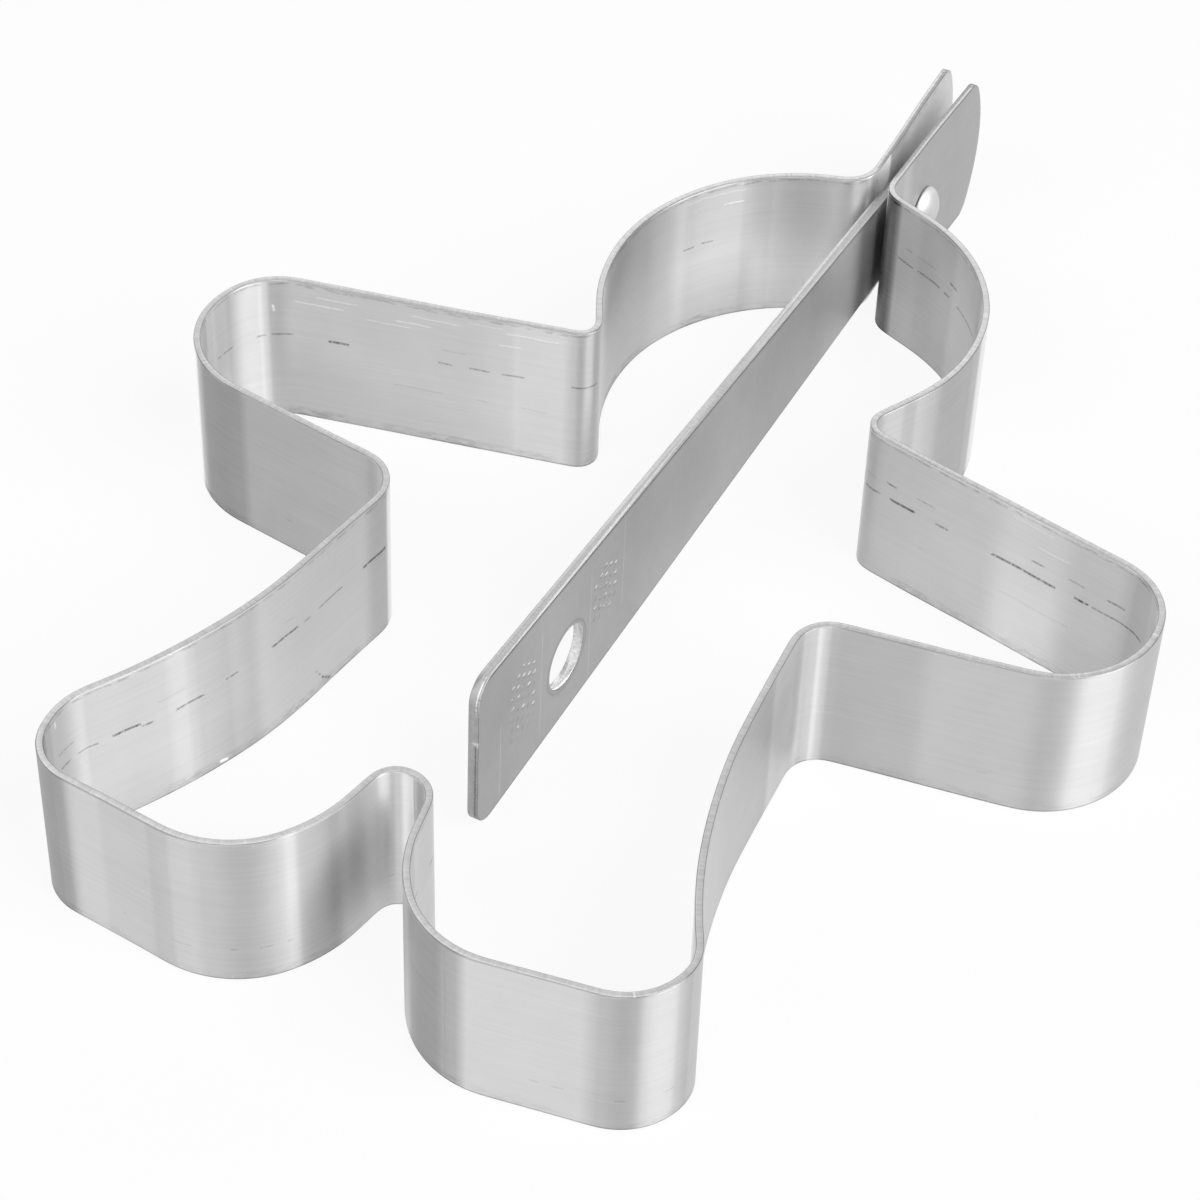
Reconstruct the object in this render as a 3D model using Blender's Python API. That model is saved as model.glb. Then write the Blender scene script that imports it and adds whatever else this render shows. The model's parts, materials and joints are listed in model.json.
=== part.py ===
"""Figure-shaped egg ring with a folding lift handle.

One stainless strip stands on edge and is bent to the outline of a small
figure.  Its two ends leave the top of the head side by side as tabs, and a
tapered flat handle turns on a rivet between them.  The handle lies folded
inside the ring and swings up over the head.

Frame: +Y runs from the feet to the head, +X to the figure's side that is
called right here, +Z up.  The ring stands on Z = 0 and the origin is the
middle of its footprint.  Lengths are in metres, angles in degrees.
"""

import math

import bmesh
import bpy
from mathutils import Matrix, Vector

# Ring strip
STRIP_HEIGHT = 0.020
STRIP_THICKNESS = 0.0008
ARC_STEP_DEG = 5.0

# Handle
HANDLE_THICKNESS = 0.0011
HANDLE_PLANE_X = -0.0001
HANDLE_PIVOT_WIDTH = 0.0119
HANDLE_FREE_WIDTH = 0.0207
HANDLE_AXIS_RISE = 0.0005
HANDLE_REST_LIFT_DEG = 0.86
HANDLE_TIP_CLEARANCE = 0.01005
HANDLE_TOP_CORNER_RADIUS = 0.0026
HANDLE_LOW_CORNER_RADIUS = 0.0018
HANG_HOLE_RADIUS = 0.00375
HANG_HOLE_INSET = 0.0192
HANG_HOLE_DROP = 0.00135

# Tabs and rivet
BEND_CLEARANCE = 0.00043
TAB_SPLAY = 0.00076
TAB_END_RADIUS = 0.016
TAB_END_RISE = 0.0008
TAB_CORNER_RADIUS = 0.0007
PIVOT_Y = 0.0609
RIVET_SHANK_RADIUS = 0.0018
RIVET_HEAD_RADIUS = 0.00295
RIVET_HEAD_HEIGHT = 0.0023
RIVET_RIM_HEIGHT = 0.0007
RIVET_HOLE_CLEARANCE = 0.0003
RIVET_HEAD_CLEARANCE = 0.0002
ROUND_SEGMENTS = 48

# The figure's arms, on the strip's centre line from corner to corner
ARM_SPAN = 0.1174
LEFT_ARM_EXTRA = 0.0004
RIGHT_HAND_SLANT = 0.0036
LEFT_HAND_SLANT = 0.0046
RIGHT_HAND_REACH = ARM_SPAN / 2.0 - LEFT_ARM_EXTRA
LEFT_HAND_REACH = ARM_SPAN / 2.0 + LEFT_ARM_EXTRA

# Corners of the strip's centre line on the right side: X, Y, bend radius
RIGHT_TAB_BEND_Y = 0.0496
RIGHT_TAB_BEND_RADIUS = 0.0027
RIGHT_HEAD = (0.0302, 0.0397, 0.0212)
RIGHT_NECK = (0.0158, 0.0106, 0.0022)
RIGHT_HAND_TOP = (RIGHT_HAND_REACH - RIGHT_HAND_SLANT, 0.0030, 0.0082)
RIGHT_HAND_LOW = (RIGHT_HAND_REACH, -0.0137, 0.0110)
RIGHT_ARMPIT = (0.0238, -0.0198, 0.0041)
RIGHT_THIGH = (0.0261, -0.0513, 0.0630)
RIGHT_ANKLE = (0.0346, -0.0658, 0.0055)
RIGHT_SOLE_OUT = (0.0330, -0.0731, 0.0076)
RIGHT_SOLE_IN = (0.0098, -0.0768, 0.0114)
RIGHT_INSEAM = (0.0036, -0.0680, 0.0154)
RIGHT_CROTCH = (0.0020, -0.0582, 0.0036)

# Corners of the strip's centre line on the left side, which the hand bending
# left a little different: X, Y, bend radius
LEFT_TAB_BEND_Y = 0.0504
LEFT_TAB_BEND_RADIUS = 0.0038
LEFT_HEAD = (-0.0310, 0.0389, 0.0241)
LEFT_NECK = (-0.0157, 0.0095, 0.0020)
LEFT_HAND_TOP = (LEFT_HAND_SLANT - LEFT_HAND_REACH, 0.0005, 0.0076)
LEFT_HAND_LOW = (-LEFT_HAND_REACH, -0.0161, 0.0108)
LEFT_ARMPIT = (-0.0232, -0.0208, 0.0050)
LEFT_THIGH = (-0.0277, -0.0516, 0.0660)
LEFT_ANKLE = (-0.0365, -0.0664, 0.0085)
LEFT_SOLE_OUT = (-0.0353, -0.0748, 0.0060)
LEFT_SOLE_IN = (-0.0117, -0.0771, 0.0125)
LEFT_INSEAM = (-0.0053, -0.0674, 0.0165)
LEFT_CROTCH = (-0.0037, -0.0580, 0.0029)

# Sizes that follow from the ones above
PIVOT_Z = STRIP_HEIGHT / 2.0
TAB_HALF_GAP = HANDLE_THICKNESS / 2.0 + BEND_CLEARANCE
TAB_CENTRE_X = TAB_HALF_GAP + STRIP_THICKNESS / 2.0
TAB_CROWN_Y = PIVOT_Y + TAB_END_RADIUS
CROTCH_FACE_Y = max(RIGHT_CROTCH[1], LEFT_CROTCH[1]) + STRIP_THICKNESS / 2.0
HANDLE_LENGTH = PIVOT_Y - CROTCH_FACE_Y - HANDLE_TIP_CLEARANCE
RIVET_HOLE_RADIUS = RIVET_SHANK_RADIUS + RIVET_HOLE_CLEARANCE
CUT_MARGIN = 0.003
ARC_SHARE_OF_RUN = 0.996


def clear_scene():
    """Remove every object that the file starts with."""
    for item in list(bpy.data.objects):
        bpy.data.objects.remove(item, do_unlink=True)


def steel(name, colour, roughness):
    """Make a metal with the given colour and roughness."""
    material = bpy.data.materials.new(name)
    material.use_nodes = True
    shader = material.node_tree.nodes["Principled BSDF"]
    shader.inputs["Base Color"].default_value = (*colour, 1.0)
    shader.inputs["Metallic"].default_value = 1.0
    shader.inputs["Roughness"].default_value = roughness
    return material


def link_mesh(name, builder, material=None):
    """Turn a bmesh into a named object with outward faces."""
    bmesh.ops.recalc_face_normals(builder, faces=builder.faces)
    mesh = bpy.data.meshes.new(name)
    builder.to_mesh(mesh)
    builder.free()
    item = bpy.data.objects.new(name, mesh)
    bpy.context.scene.collection.objects.link(item)
    if material is not None:
        mesh.materials.append(material)
    return item


def tangent_reaches(corners, closed):
    """Find how far each corner's arc reaches along the runs beside it.

    Two arcs that share a run too short for both shrink until they take no
    more than ARC_SHARE_OF_RUN of it.
    """
    count = len(corners)
    places = [Vector(corner[:2]) for corner in corners]
    reaches = []
    for index, (_, _, radius) in enumerate(corners):
        back = places[index - 1] - places[index]
        ahead = places[(index + 1) % count] - places[index]
        reaches.append(radius / math.tan(back.angle(ahead) / 2.0) if radius else 0.0)
    limits = [1.0] * count
    for index in range(count if closed else count - 1):
        after = (index + 1) % count
        run = (places[after] - places[index]).length * ARC_SHARE_OF_RUN
        wanted = reaches[index] + reaches[after]
        if wanted > run:
            limits[index] = min(limits[index], run / wanted)
            limits[after] = min(limits[after], run / wanted)
    return [reach * limit for reach, limit in zip(reaches, limits)]


def rounded_path(corners, closed=False):
    """Join corners (a, b, radius) by straight runs and tangent arcs.

    A corner of radius 0 stays sharp, and so do the ends of an open path.
    """
    count = len(corners)
    points = []
    for index, reach in enumerate(tangent_reaches(corners, closed)):
        here = Vector(corners[index][:2])
        if reach == 0.0:
            points.append(here)
            continue
        back = (Vector(corners[index - 1][:2]) - here).normalized()
        ahead = (Vector(corners[(index + 1) % count][:2]) - here).normalized()
        half = back.angle(ahead) / 2.0
        middle = here + (back + ahead).normalized() * (reach / math.cos(half))
        start = here + back * reach - middle
        turn = start.angle_signed(here + ahead * reach - middle)
        steps = max(2, math.ceil(abs(turn) / math.radians(ARC_STEP_DEG)))
        for step in range(steps + 1):
            points.append(middle + Matrix.Rotation(-turn * step / steps, 2) @ start)
    return points


def plate(points, near_x, far_x):
    """Extrude an outline in the Y-Z plane from one X to another."""
    builder = bmesh.new()
    rim = [builder.verts.new((near_x, point[0], point[1])) for point in points]
    face = builder.faces.new(rim)
    grown = bmesh.ops.extrude_face_region(builder, geom=[face])
    moved = [item for item in grown["geom"] if isinstance(item, bmesh.types.BMVert)]
    bmesh.ops.translate(builder, verts=moved, vec=(far_x - near_x, 0.0, 0.0))
    return builder


def cross_pin(name, y, z, radius, half_length, centre_x=HANDLE_PLANE_X):
    """Make a round cutter that lies along X."""
    builder = bmesh.new()
    bmesh.ops.create_cone(
        builder,
        cap_ends=True,
        segments=ROUND_SEGMENTS,
        radius1=radius,
        radius2=radius,
        depth=2.0 * half_length,
        matrix=Matrix.Translation((centre_x, y, z)) @ Matrix.Rotation(math.pi / 2.0, 4, "Y"),
    )
    return as_cutter(link_mesh(name, builder))


def as_cutter(item):
    """Keep a cutting shape out of the finished part."""
    item.hide_render = True
    item.display_type = "WIRE"
    return item


def cut(item, cutter):
    """Take one shape away from another."""
    modifier = item.modifiers.new("cut_" + cutter.name, "BOOLEAN")
    modifier.operation = "DIFFERENCE"
    modifier.solver = "EXACT"
    modifier.object = cutter


def tab_corners(side, bend_y, bend_radius):
    """Give a tab's free end and its bend into the head on one side."""
    bend_x = HANDLE_PLANE_X + side * TAB_CENTRE_X
    end_x = bend_x + side * TAB_SPLAY
    return [(end_x, TAB_CROWN_Y + STRIP_THICKNESS, 0.0), (bend_x, bend_y, bend_radius)]


def tab_outer_x(side, bend_y, y):
    """Find how far a tab's outer face lies from the handle's plane at a Y."""
    share = (y - bend_y) / (TAB_CROWN_Y + STRIP_THICKNESS - bend_y)
    slant = math.atan2(TAB_SPLAY, TAB_CROWN_Y - bend_y)
    centre = TAB_CENTRE_X + share * TAB_SPLAY
    return side * (centre + STRIP_THICKNESS / 2.0 / math.cos(slant))


def strip_corners():
    """List the centre line's corners from the right tab to the left tab."""
    right = tab_corners(1.0, RIGHT_TAB_BEND_Y, RIGHT_TAB_BEND_RADIUS) + [
        RIGHT_HEAD,
        RIGHT_NECK,
        RIGHT_HAND_TOP,
        RIGHT_HAND_LOW,
        RIGHT_ARMPIT,
        RIGHT_THIGH,
        RIGHT_ANKLE,
        RIGHT_SOLE_OUT,
        RIGHT_SOLE_IN,
        RIGHT_INSEAM,
        RIGHT_CROTCH,
    ]
    left = tab_corners(-1.0, LEFT_TAB_BEND_Y, LEFT_TAB_BEND_RADIUS) + [
        LEFT_HEAD,
        LEFT_NECK,
        LEFT_HAND_TOP,
        LEFT_HAND_LOW,
        LEFT_ARMPIT,
        LEFT_THIGH,
        LEFT_ANKLE,
        LEFT_SOLE_OUT,
        LEFT_SOLE_IN,
        LEFT_INSEAM,
        LEFT_CROTCH,
    ]
    return right + left[::-1]


def tab_end_cutter():
    """Make the shape that rounds the free ends of both tabs.

    The ends follow one arc about the rivet, a little above mid height, and
    meet the strip's edges in small rounded corners.
    """
    arc_z = PIVOT_Z + TAB_END_RISE
    rise = STRIP_HEIGHT - arc_z
    top_y = PIVOT_Y + math.sqrt(TAB_END_RADIUS**2 - rise**2)
    low_y = PIVOT_Y + math.sqrt(TAB_END_RADIUS**2 - arc_z**2)
    far_y = TAB_CROWN_Y + CUT_MARGIN
    reach = 2.0 * TAB_CORNER_RADIUS
    outline = [(far_y, -CUT_MARGIN, 0.0), (far_y, STRIP_HEIGHT + CUT_MARGIN, 0.0)]
    outline.append((top_y - reach, STRIP_HEIGHT + CUT_MARGIN, 0.0))
    outline.append((top_y - reach, STRIP_HEIGHT, 0.0))
    outline.append((top_y, STRIP_HEIGHT, TAB_CORNER_RADIUS))
    first = math.asin(rise / TAB_END_RADIUS)
    last = -math.asin(arc_z / TAB_END_RADIUS)
    steps = math.ceil((first - last) / math.radians(ARC_STEP_DEG))
    for step in range(2, steps - 1):
        angle = first + (last - first) * step / steps
        outline.append(
            (
                PIVOT_Y + TAB_END_RADIUS * math.cos(angle),
                arc_z + TAB_END_RADIUS * math.sin(angle),
                0.0,
            )
        )
    outline.append((low_y, 0.0, TAB_CORNER_RADIUS))
    outline.append((low_y - reach, 0.0, 0.0))
    outline.append((low_y - reach, -CUT_MARGIN, 0.0))
    points = []
    for index, corner in enumerate(outline):
        if corner[2] == 0.0:
            points.append(Vector(corner[:2]))
        else:
            points.extend(rounded_path([outline[index - 1], corner, outline[index + 1]])[1:-1])
    half_width = TAB_CENTRE_X + TAB_SPLAY + STRIP_THICKNESS + CUT_MARGIN
    builder = plate(points, HANDLE_PLANE_X - half_width, HANDLE_PLANE_X + half_width)
    return as_cutter(link_mesh("tab_end_cutter", builder))


def make_ring_strip():
    """Bend the strip to the figure, round its tabs and bore them."""
    builder = bmesh.new()
    path = rounded_path(strip_corners())
    low = [builder.verts.new((point.x, point.y, 0.0)) for point in path]
    top = [builder.verts.new((point.x, point.y, STRIP_HEIGHT)) for point in path]
    for index in range(len(path) - 1):
        builder.faces.new((low[index], low[index + 1], top[index + 1], top[index]))
    strip = link_mesh("ring_strip", builder, steel("ring_steel", (0.56, 0.56, 0.56), 0.34))
    wall = strip.modifiers.new("wall", "SOLIDIFY")
    wall.thickness = STRIP_THICKNESS
    wall.offset = 0.0
    wall.use_even_offset = True
    cut(strip, tab_end_cutter())
    reach = TAB_CENTRE_X + TAB_SPLAY + CUT_MARGIN
    cut(strip, cross_pin("tab_bore_cutter", PIVOT_Y, PIVOT_Z, RIVET_HOLE_RADIUS, reach))
    strip.data.shade_smooth()
    strip.data.set_sharp_from_angle(angle=math.radians(35.0))
    return strip


def handle_outline():
    """Draw the handle about its pivot, the free end towards -Y.

    Both long edges taper towards the pivot.  The pivot end is a half round
    about a point on the handle's own middle line.
    """
    free = HANDLE_FREE_WIDTH / 2.0
    root = HANDLE_PIVOT_WIDTH / 2.0
    rise = HANDLE_AXIS_RISE
    taper = math.asin((free - root) / HANDLE_LENGTH)
    free_end = [
        (root * math.sin(taper), rise + root * math.cos(taper), 0.0),
        (-HANDLE_LENGTH, rise + free, HANDLE_TOP_CORNER_RADIUS),
        (-HANDLE_LENGTH, rise - free, HANDLE_LOW_CORNER_RADIUS),
        (root * math.sin(taper), rise - root * math.cos(taper), 0.0),
    ]
    points = rounded_path(free_end)
    span = math.pi - 2.0 * taper
    steps = math.ceil(span / math.radians(ARC_STEP_DEG))
    for step in range(1, steps):
        angle = -span / 2.0 + span * step / steps
        points.append(Vector((root * math.cos(angle), rise + root * math.sin(angle))))
    return points


def make_handle():
    """Cut the tapered handle from flat bar, with its pivot and hang holes."""
    half = HANDLE_THICKNESS / 2.0
    builder = plate(handle_outline(), -half, half)
    handle = link_mesh("lift_handle", builder, steel("handle_steel", (0.50, 0.50, 0.50), 0.38))
    pivot = cross_pin("pivot_bore_cutter", 0.0, 0.0, RIVET_HOLE_RADIUS, CUT_MARGIN, 0.0)
    hole_y = HANG_HOLE_INSET - HANDLE_LENGTH
    hole_z = HANDLE_AXIS_RISE - HANG_HOLE_DROP
    hang = cross_pin("hang_hole_cutter", hole_y, hole_z, HANG_HOLE_RADIUS, CUT_MARGIN, 0.0)
    for cutter in (pivot, hang):
        cutter.parent = handle
        cut(handle, cutter)
    handle.location = (HANDLE_PLANE_X, PIVOT_Y, PIVOT_Z)
    handle.rotation_euler.x = -math.radians(HANDLE_REST_LIFT_DEG)
    handle.data.shade_smooth()
    handle.data.set_sharp_from_angle(angle=math.radians(35.0))
    return handle


def head_profile(side, seat_x):
    """Draw one rivet head from its seat to its crown as (X, radius)."""
    rim = RIVET_RIM_HEIGHT
    dome = RIVET_HEAD_HEIGHT - rim
    profile = [(seat_x, RIVET_HEAD_RADIUS)]
    steps = ROUND_SEGMENTS // 6
    for step in range(steps):
        angle = math.pi / 2.0 * step / steps
        x = seat_x + side * (rim + dome * math.sin(angle))
        profile.append((x, RIVET_HEAD_RADIUS * math.cos(angle)))
    return profile, seat_x + side * RIVET_HEAD_HEIGHT


def make_rivet():
    """Turn the rivet with its shank through both tabs and a head outside each."""
    seats = {}
    for side, bend_y in ((1.0, RIGHT_TAB_BEND_Y), (-1.0, LEFT_TAB_BEND_Y)):
        outermost = tab_outer_x(side, bend_y, PIVOT_Y + RIVET_HEAD_RADIUS)
        seats[side] = outermost + side * RIVET_HEAD_CLEARANCE
    left, left_crown = head_profile(-1.0, seats[-1.0])
    right, right_crown = head_profile(1.0, seats[1.0])
    shank = [(seats[-1.0], RIVET_SHANK_RADIUS), (seats[1.0], RIVET_SHANK_RADIUS)]
    profile = left[::-1] + shank + right
    builder = bmesh.new()
    rings = []
    for x, radius in profile:
        ring = []
        for step in range(ROUND_SEGMENTS):
            angle = 2.0 * math.pi * step / ROUND_SEGMENTS
            ring.append(builder.verts.new((x, radius * math.cos(angle), radius * math.sin(angle))))
        rings.append(ring)
    for first, second in zip(rings, rings[1:]):
        for step in range(ROUND_SEGMENTS):
            after = (step + 1) % ROUND_SEGMENTS
            builder.faces.new((first[step], first[after], second[after], second[step]))
    for ring, crown_x in ((rings[0], left_crown), (rings[-1], right_crown)):
        crown = builder.verts.new((crown_x, 0.0, 0.0))
        for step in range(ROUND_SEGMENTS):
            builder.faces.new((ring[step], ring[(step + 1) % ROUND_SEGMENTS], crown))
    rivet = link_mesh("pivot_rivet", builder, steel("rivet_steel", (0.78, 0.78, 0.78), 0.24))
    rivet.location = (HANDLE_PLANE_X, PIVOT_Y, PIVOT_Z)
    rivet.data.shade_smooth()
    rivet.data.set_sharp_from_angle(angle=math.radians(40.0))
    return rivet


def main():
    """Build the egg ring."""
    clear_scene()
    strip = make_ring_strip()
    handle = make_handle()
    rivet = make_rivet()
    frame = bpy.data.objects.new("ring_frame", None)
    bpy.context.scene.collection.objects.link(frame)
    for item in (strip, handle, rivet):
        item.parent = frame


main()
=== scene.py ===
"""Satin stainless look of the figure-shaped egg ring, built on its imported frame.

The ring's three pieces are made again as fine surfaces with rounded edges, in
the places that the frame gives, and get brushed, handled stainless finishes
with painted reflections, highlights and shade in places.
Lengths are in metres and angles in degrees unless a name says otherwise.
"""

import json
import logging
import math
from collections.abc import Mapping, Sequence
from dataclasses import dataclass, field
from enum import Enum
from typing import ClassVar, Union

import bmesh
import bpy
import numpy as np
from mathutils import Matrix, Vector
from numpy.typing import NDArray


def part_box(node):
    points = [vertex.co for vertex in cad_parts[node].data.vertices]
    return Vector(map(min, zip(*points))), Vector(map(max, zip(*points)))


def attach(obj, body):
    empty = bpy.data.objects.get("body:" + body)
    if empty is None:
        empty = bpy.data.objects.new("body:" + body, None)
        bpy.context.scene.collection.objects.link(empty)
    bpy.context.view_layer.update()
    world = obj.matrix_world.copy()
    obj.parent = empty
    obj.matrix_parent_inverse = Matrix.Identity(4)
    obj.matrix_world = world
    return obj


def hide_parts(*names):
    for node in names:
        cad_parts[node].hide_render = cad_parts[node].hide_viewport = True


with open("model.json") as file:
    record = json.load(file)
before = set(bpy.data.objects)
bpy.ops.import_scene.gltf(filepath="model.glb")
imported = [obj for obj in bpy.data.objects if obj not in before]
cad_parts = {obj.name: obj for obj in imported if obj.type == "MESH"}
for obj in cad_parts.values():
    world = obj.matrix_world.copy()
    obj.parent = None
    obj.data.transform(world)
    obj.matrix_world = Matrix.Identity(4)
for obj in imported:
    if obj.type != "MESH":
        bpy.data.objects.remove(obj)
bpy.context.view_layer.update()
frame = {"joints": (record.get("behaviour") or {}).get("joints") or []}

logging.basicConfig(level=logging.INFO, format="%(message)s")
LOG = logging.getLogger("egg_ring")

MM = 0.001
Points = NDArray[np.float64]
Value = Union[float, "Wire"]
Pairs = tuple[tuple[float, float], ...]
Triples = tuple[tuple[float, float, float], ...]


class Side(Enum):
    """The two mirrored halves of the figure, by the sign of X."""

    RIGHT = 1.0
    LEFT = -1.0


# Shader graphs


@dataclass(frozen=True)
class Wire:
    """An output socket whose arithmetic adds Math nodes.

    Attributes:
        graph: The graph that the socket belongs to.
        socket: The output socket itself.
    """

    graph: "Graph"
    socket: bpy.types.NodeSocket

    def math(self, operation: str, *others: Value) -> "Wire":
        """Add a Math node with this wire as its first value."""
        return self.graph.math(operation, self, *others)

    def __add__(self, other: Value) -> "Wire":
        """Give self + other."""
        return self.math("ADD", other)

    def __radd__(self, other: Value) -> "Wire":
        """Give other + self."""
        return self.graph.math("ADD", other, self)

    def __sub__(self, other: Value) -> "Wire":
        """Give self - other."""
        return self.math("SUBTRACT", other)

    def __rsub__(self, other: Value) -> "Wire":
        """Give other - self."""
        return self.graph.math("SUBTRACT", other, self)

    def __mul__(self, other: Value) -> "Wire":
        """Give self * other."""
        return self.math("MULTIPLY", other)

    def __rmul__(self, other: Value) -> "Wire":
        """Give other * self."""
        return self.graph.math("MULTIPLY", other, self)

    def __truediv__(self, other: Value) -> "Wire":
        """Give self / other."""
        return self.math("DIVIDE", other)

    def absolute(self) -> "Wire":
        """Give the value without its sign."""
        return self.math("ABSOLUTE")

    def ramp(self, low: float, high: float) -> "Wire":
        """Rise smoothly from 0 at low to 1 at high.

        Args:
            low: The value that gives 0. It may lie above high.
            high: The value that gives 1.

        Returns:
            The eased share, clamped to 0 and 1.
        """
        settings = {"interpolation_type": "SMOOTHSTEP"}
        values = {"Value": self, "From Min": low, "From Max": high}
        return self.graph.node("ShaderNodeMapRange", settings, values)["Result"]

    def within(self, start: float, end: float) -> "Wire":
        """Give 1 from start to end and 0 elsewhere."""
        return self.math("COMPARE", (start + end) / 2.0, (end - start) / 2.0)

    def over(self, pairs: Pairs) -> Value:
        """Give 1 within each (start, end) pair and 0 elsewhere."""
        total: Value = 0.0
        for start, end in pairs:
            total = total + self.within(start, end)
        return total

    def band(self, centre: Value, half_width: float, soft: float) -> "Wire":
        """Give 1 within half_width of centre, fading to 0 over soft."""
        return (self - centre).absolute().ramp(half_width + soft, half_width)


class Graph:
    """A material's or a world's node tree, filled one node at a time."""

    def __init__(self, tree: bpy.types.NodeTree) -> None:
        """Take over an empty tree."""
        self.tree = tree

    def node(
        self,
        kind: str,
        settings: Mapping[str, object] | None = None,
        values: Mapping[str | int, object] | None = None,
    ) -> dict[str, Wire]:
        """Add one node.

        Args:
            kind: The node's type name.
            settings: Its own properties, which are set first.
            values: Constants or wires for its input sockets, by name or place.

        Returns:
            The node's outputs by name.
        """
        made = self.tree.nodes.new(kind)
        for name, setting in (settings or {}).items():
            setattr(made, name, setting)
        for key, value in (values or {}).items():
            socket = made.inputs[key]
            if isinstance(value, Wire):
                self.tree.links.new(value.socket, socket)
            else:
                socket.default_value = value
        return {output.name: Wire(self, output) for output in made.outputs if output.enabled}

    def math(self, operation: str, *terms: Value) -> Wire:
        """Add a Math node on the given terms."""
        values = dict(enumerate(terms))
        return self.node("ShaderNodeMath", {"operation": operation}, values)["Value"]

    def noise(self, place: Wire, detail: float = 2.0, roughness: float = 0.5) -> Wire:
        """Add three-dimensional noise, 0 to 1, one unit of place to a lump."""
        values = {"Vector": place, "Scale": 1.0, "Detail": detail, "Roughness": roughness}
        return self.node("ShaderNodeTexNoise", None, values)["Fac"]

    def place(self, x: Value, y: Value, z: Value) -> Wire:
        """Join three numbers to a vector."""
        return self.node("ShaderNodeCombineXYZ", None, {"X": x, "Y": y, "Z": z})["Vector"]

    def blend(self, share: Value, first: object, second: object) -> Wire:
        """Mix two colours by a share of the second."""
        settings = {"data_type": "RGBA", "clamp_factor": True}
        return self.node("ShaderNodeMix", settings, {0: share, 6: first, 7: second})["Result"]


@dataclass(frozen=True)
class Lay:
    """Where a surface's points lie on its own piece, as a finish reads it.

    Attributes:
        graph: The material's graph.
        along: Their place along the piece.
        up: Their place up it, or out from the rivet's axis.
        across: Their place across it.
    """

    graph: Graph
    along: Wire
    up: Wire
    across: Wire

    def held(self, name: str) -> Wire:
        """Read a number that the mesh holds at its points."""
        return self.graph.node("ShaderNodeAttribute", {"attribute_name": name})["Fac"]

    def lumps(
        self, long: float, high: float, seed: Value, detail: float = 2.0, roughness: float = 0.5
    ) -> Wire:
        """Add noise over the surface.

        Args:
            long: A lump's length along the piece, in millimetres, or 0 for no change that way.
            high: Its height up the piece, given in the same way.
            seed: The last coordinate, which tells one noise from another.
            detail: How many finer layers it has.
            roughness: How strong these are.

        Returns:
            The noise, 0 to 1.
        """
        sized = [wire / (size * MM) for wire, size in ((self.along, long), (self.up, high)) if size]
        place = self.graph.place(*sized, *[0.0] * (2 - len(sized)), seed)
        return self.graph.noise(place, detail, roughness)


def empty_graph(owner: bpy.types.Material | bpy.types.World) -> Graph:
    """Give a material or a world an empty graph."""
    owner.use_nodes = True
    owner.node_tree.nodes.clear()
    return Graph(owner.node_tree)


def grey(level: float) -> tuple[float, float, float, float]:
    """Give an opaque neutral colour."""
    return (level, level, level, 1.0)


def stand(name: str, data: bpy.types.ID) -> bpy.types.Object:
    """Put an object with the given data into the scene."""
    made = bpy.data.objects.new(name, data)
    bpy.context.scene.collection.objects.link(made)
    return made


# Mesh building

# Cycles runs the steel's lines round the upright axis of a mesh's texture space.
# It stands well outside the ring here, where only three tight bends point at it.
LINES_AXIS = (-290.0 * MM, -10.0 * MM, 0.0)
LINES_SIZE = (MM, MM, MM)


def grid_faces(rows: int, columns: int, wrap: bool) -> NDArray[np.int64]:
    """Number the quads of a grid of points stored row by row.

    Args:
        rows: How many rows of points there are.
        columns: How many points a row has.
        wrap: Whether each row closes on itself.

    Returns:
        One row of four point numbers for each quad.
    """
    row, column = np.meshgrid(np.arange(rows - 1), np.arange(columns - (not wrap)), indexing="ij")
    after = (column + 1) % columns
    corners = (row * columns + column, row * columns + after)
    far = (corners[1] + columns, corners[0] + columns)
    return np.stack([*corners, *far], axis=-1).reshape(-1, 4)


@dataclass
class Shell:
    """Patches of surface that are welded into one closed mesh.

    Attributes:
        points: The patches' points, one array each.
        lays: For each point, its place on the piece's own developed surface.
        cuts: For each point, 0 on a rolled face to 1 on a cut edge.
        faces: The patches' quads, numbered through all patches.
    """

    points: list[Points] = field(default_factory=list)
    lays: list[Points] = field(default_factory=list)
    cuts: list[Points] = field(default_factory=list)
    faces: list[NDArray[np.int64]] = field(default_factory=list)

    def add_grid(self, grid: Points, lay: Points, cut: Points | float, wrap: bool) -> None:
        """Add a patch.

        Args:
            grid: Points as rows by columns by three.
            lay: The developed place of each point, in the same order.
            cut: How far each point is on a cut edge.
            wrap: Whether the rows close on themselves.
        """
        start = sum(len(part) for part in self.points)
        self.faces.append(start + grid_faces(grid.shape[0], grid.shape[1], wrap))
        self.points.append(grid.reshape(-1, 3))
        self.lays.append(lay.reshape(-1, 3))
        self.cuts.append(np.broadcast_to(cut, grid.shape[:2]).ravel())

    def build(self, name: str) -> bpy.types.Object:
        """Weld the patches, turn their faces outwards and shade them smooth."""
        points = np.concatenate(self.points)
        mesh = bpy.data.meshes.new(name)
        mesh.from_pydata(points.tolist(), [], np.concatenate(self.faces).tolist())
        lay = mesh.attributes.new("lay", "FLOAT_VECTOR", "POINT")
        lay.data.foreach_set("vector", np.concatenate(self.lays).astype(np.float32).ravel())
        cut = mesh.attributes.new("cut", "FLOAT", "POINT")
        cut.data.foreach_set("value", np.concatenate(self.cuts).astype(np.float32))
        welded = bmesh.new()
        welded.from_mesh(mesh)
        bmesh.ops.remove_doubles(welded, verts=welded.verts, dist=1e-7)
        bmesh.ops.dissolve_degenerate(welded, edges=welded.edges, dist=1e-8)
        bmesh.ops.recalc_face_normals(welded, faces=welded.faces)
        welded.to_mesh(mesh)
        welded.free()
        mesh.shade_smooth()
        return stand(name, mesh)


def join(*axes: Points | float) -> Points:
    """Join coordinates, each spread over the others' shape, to points."""
    return np.stack(np.broadcast_arrays(*axes), axis=-1)


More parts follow.
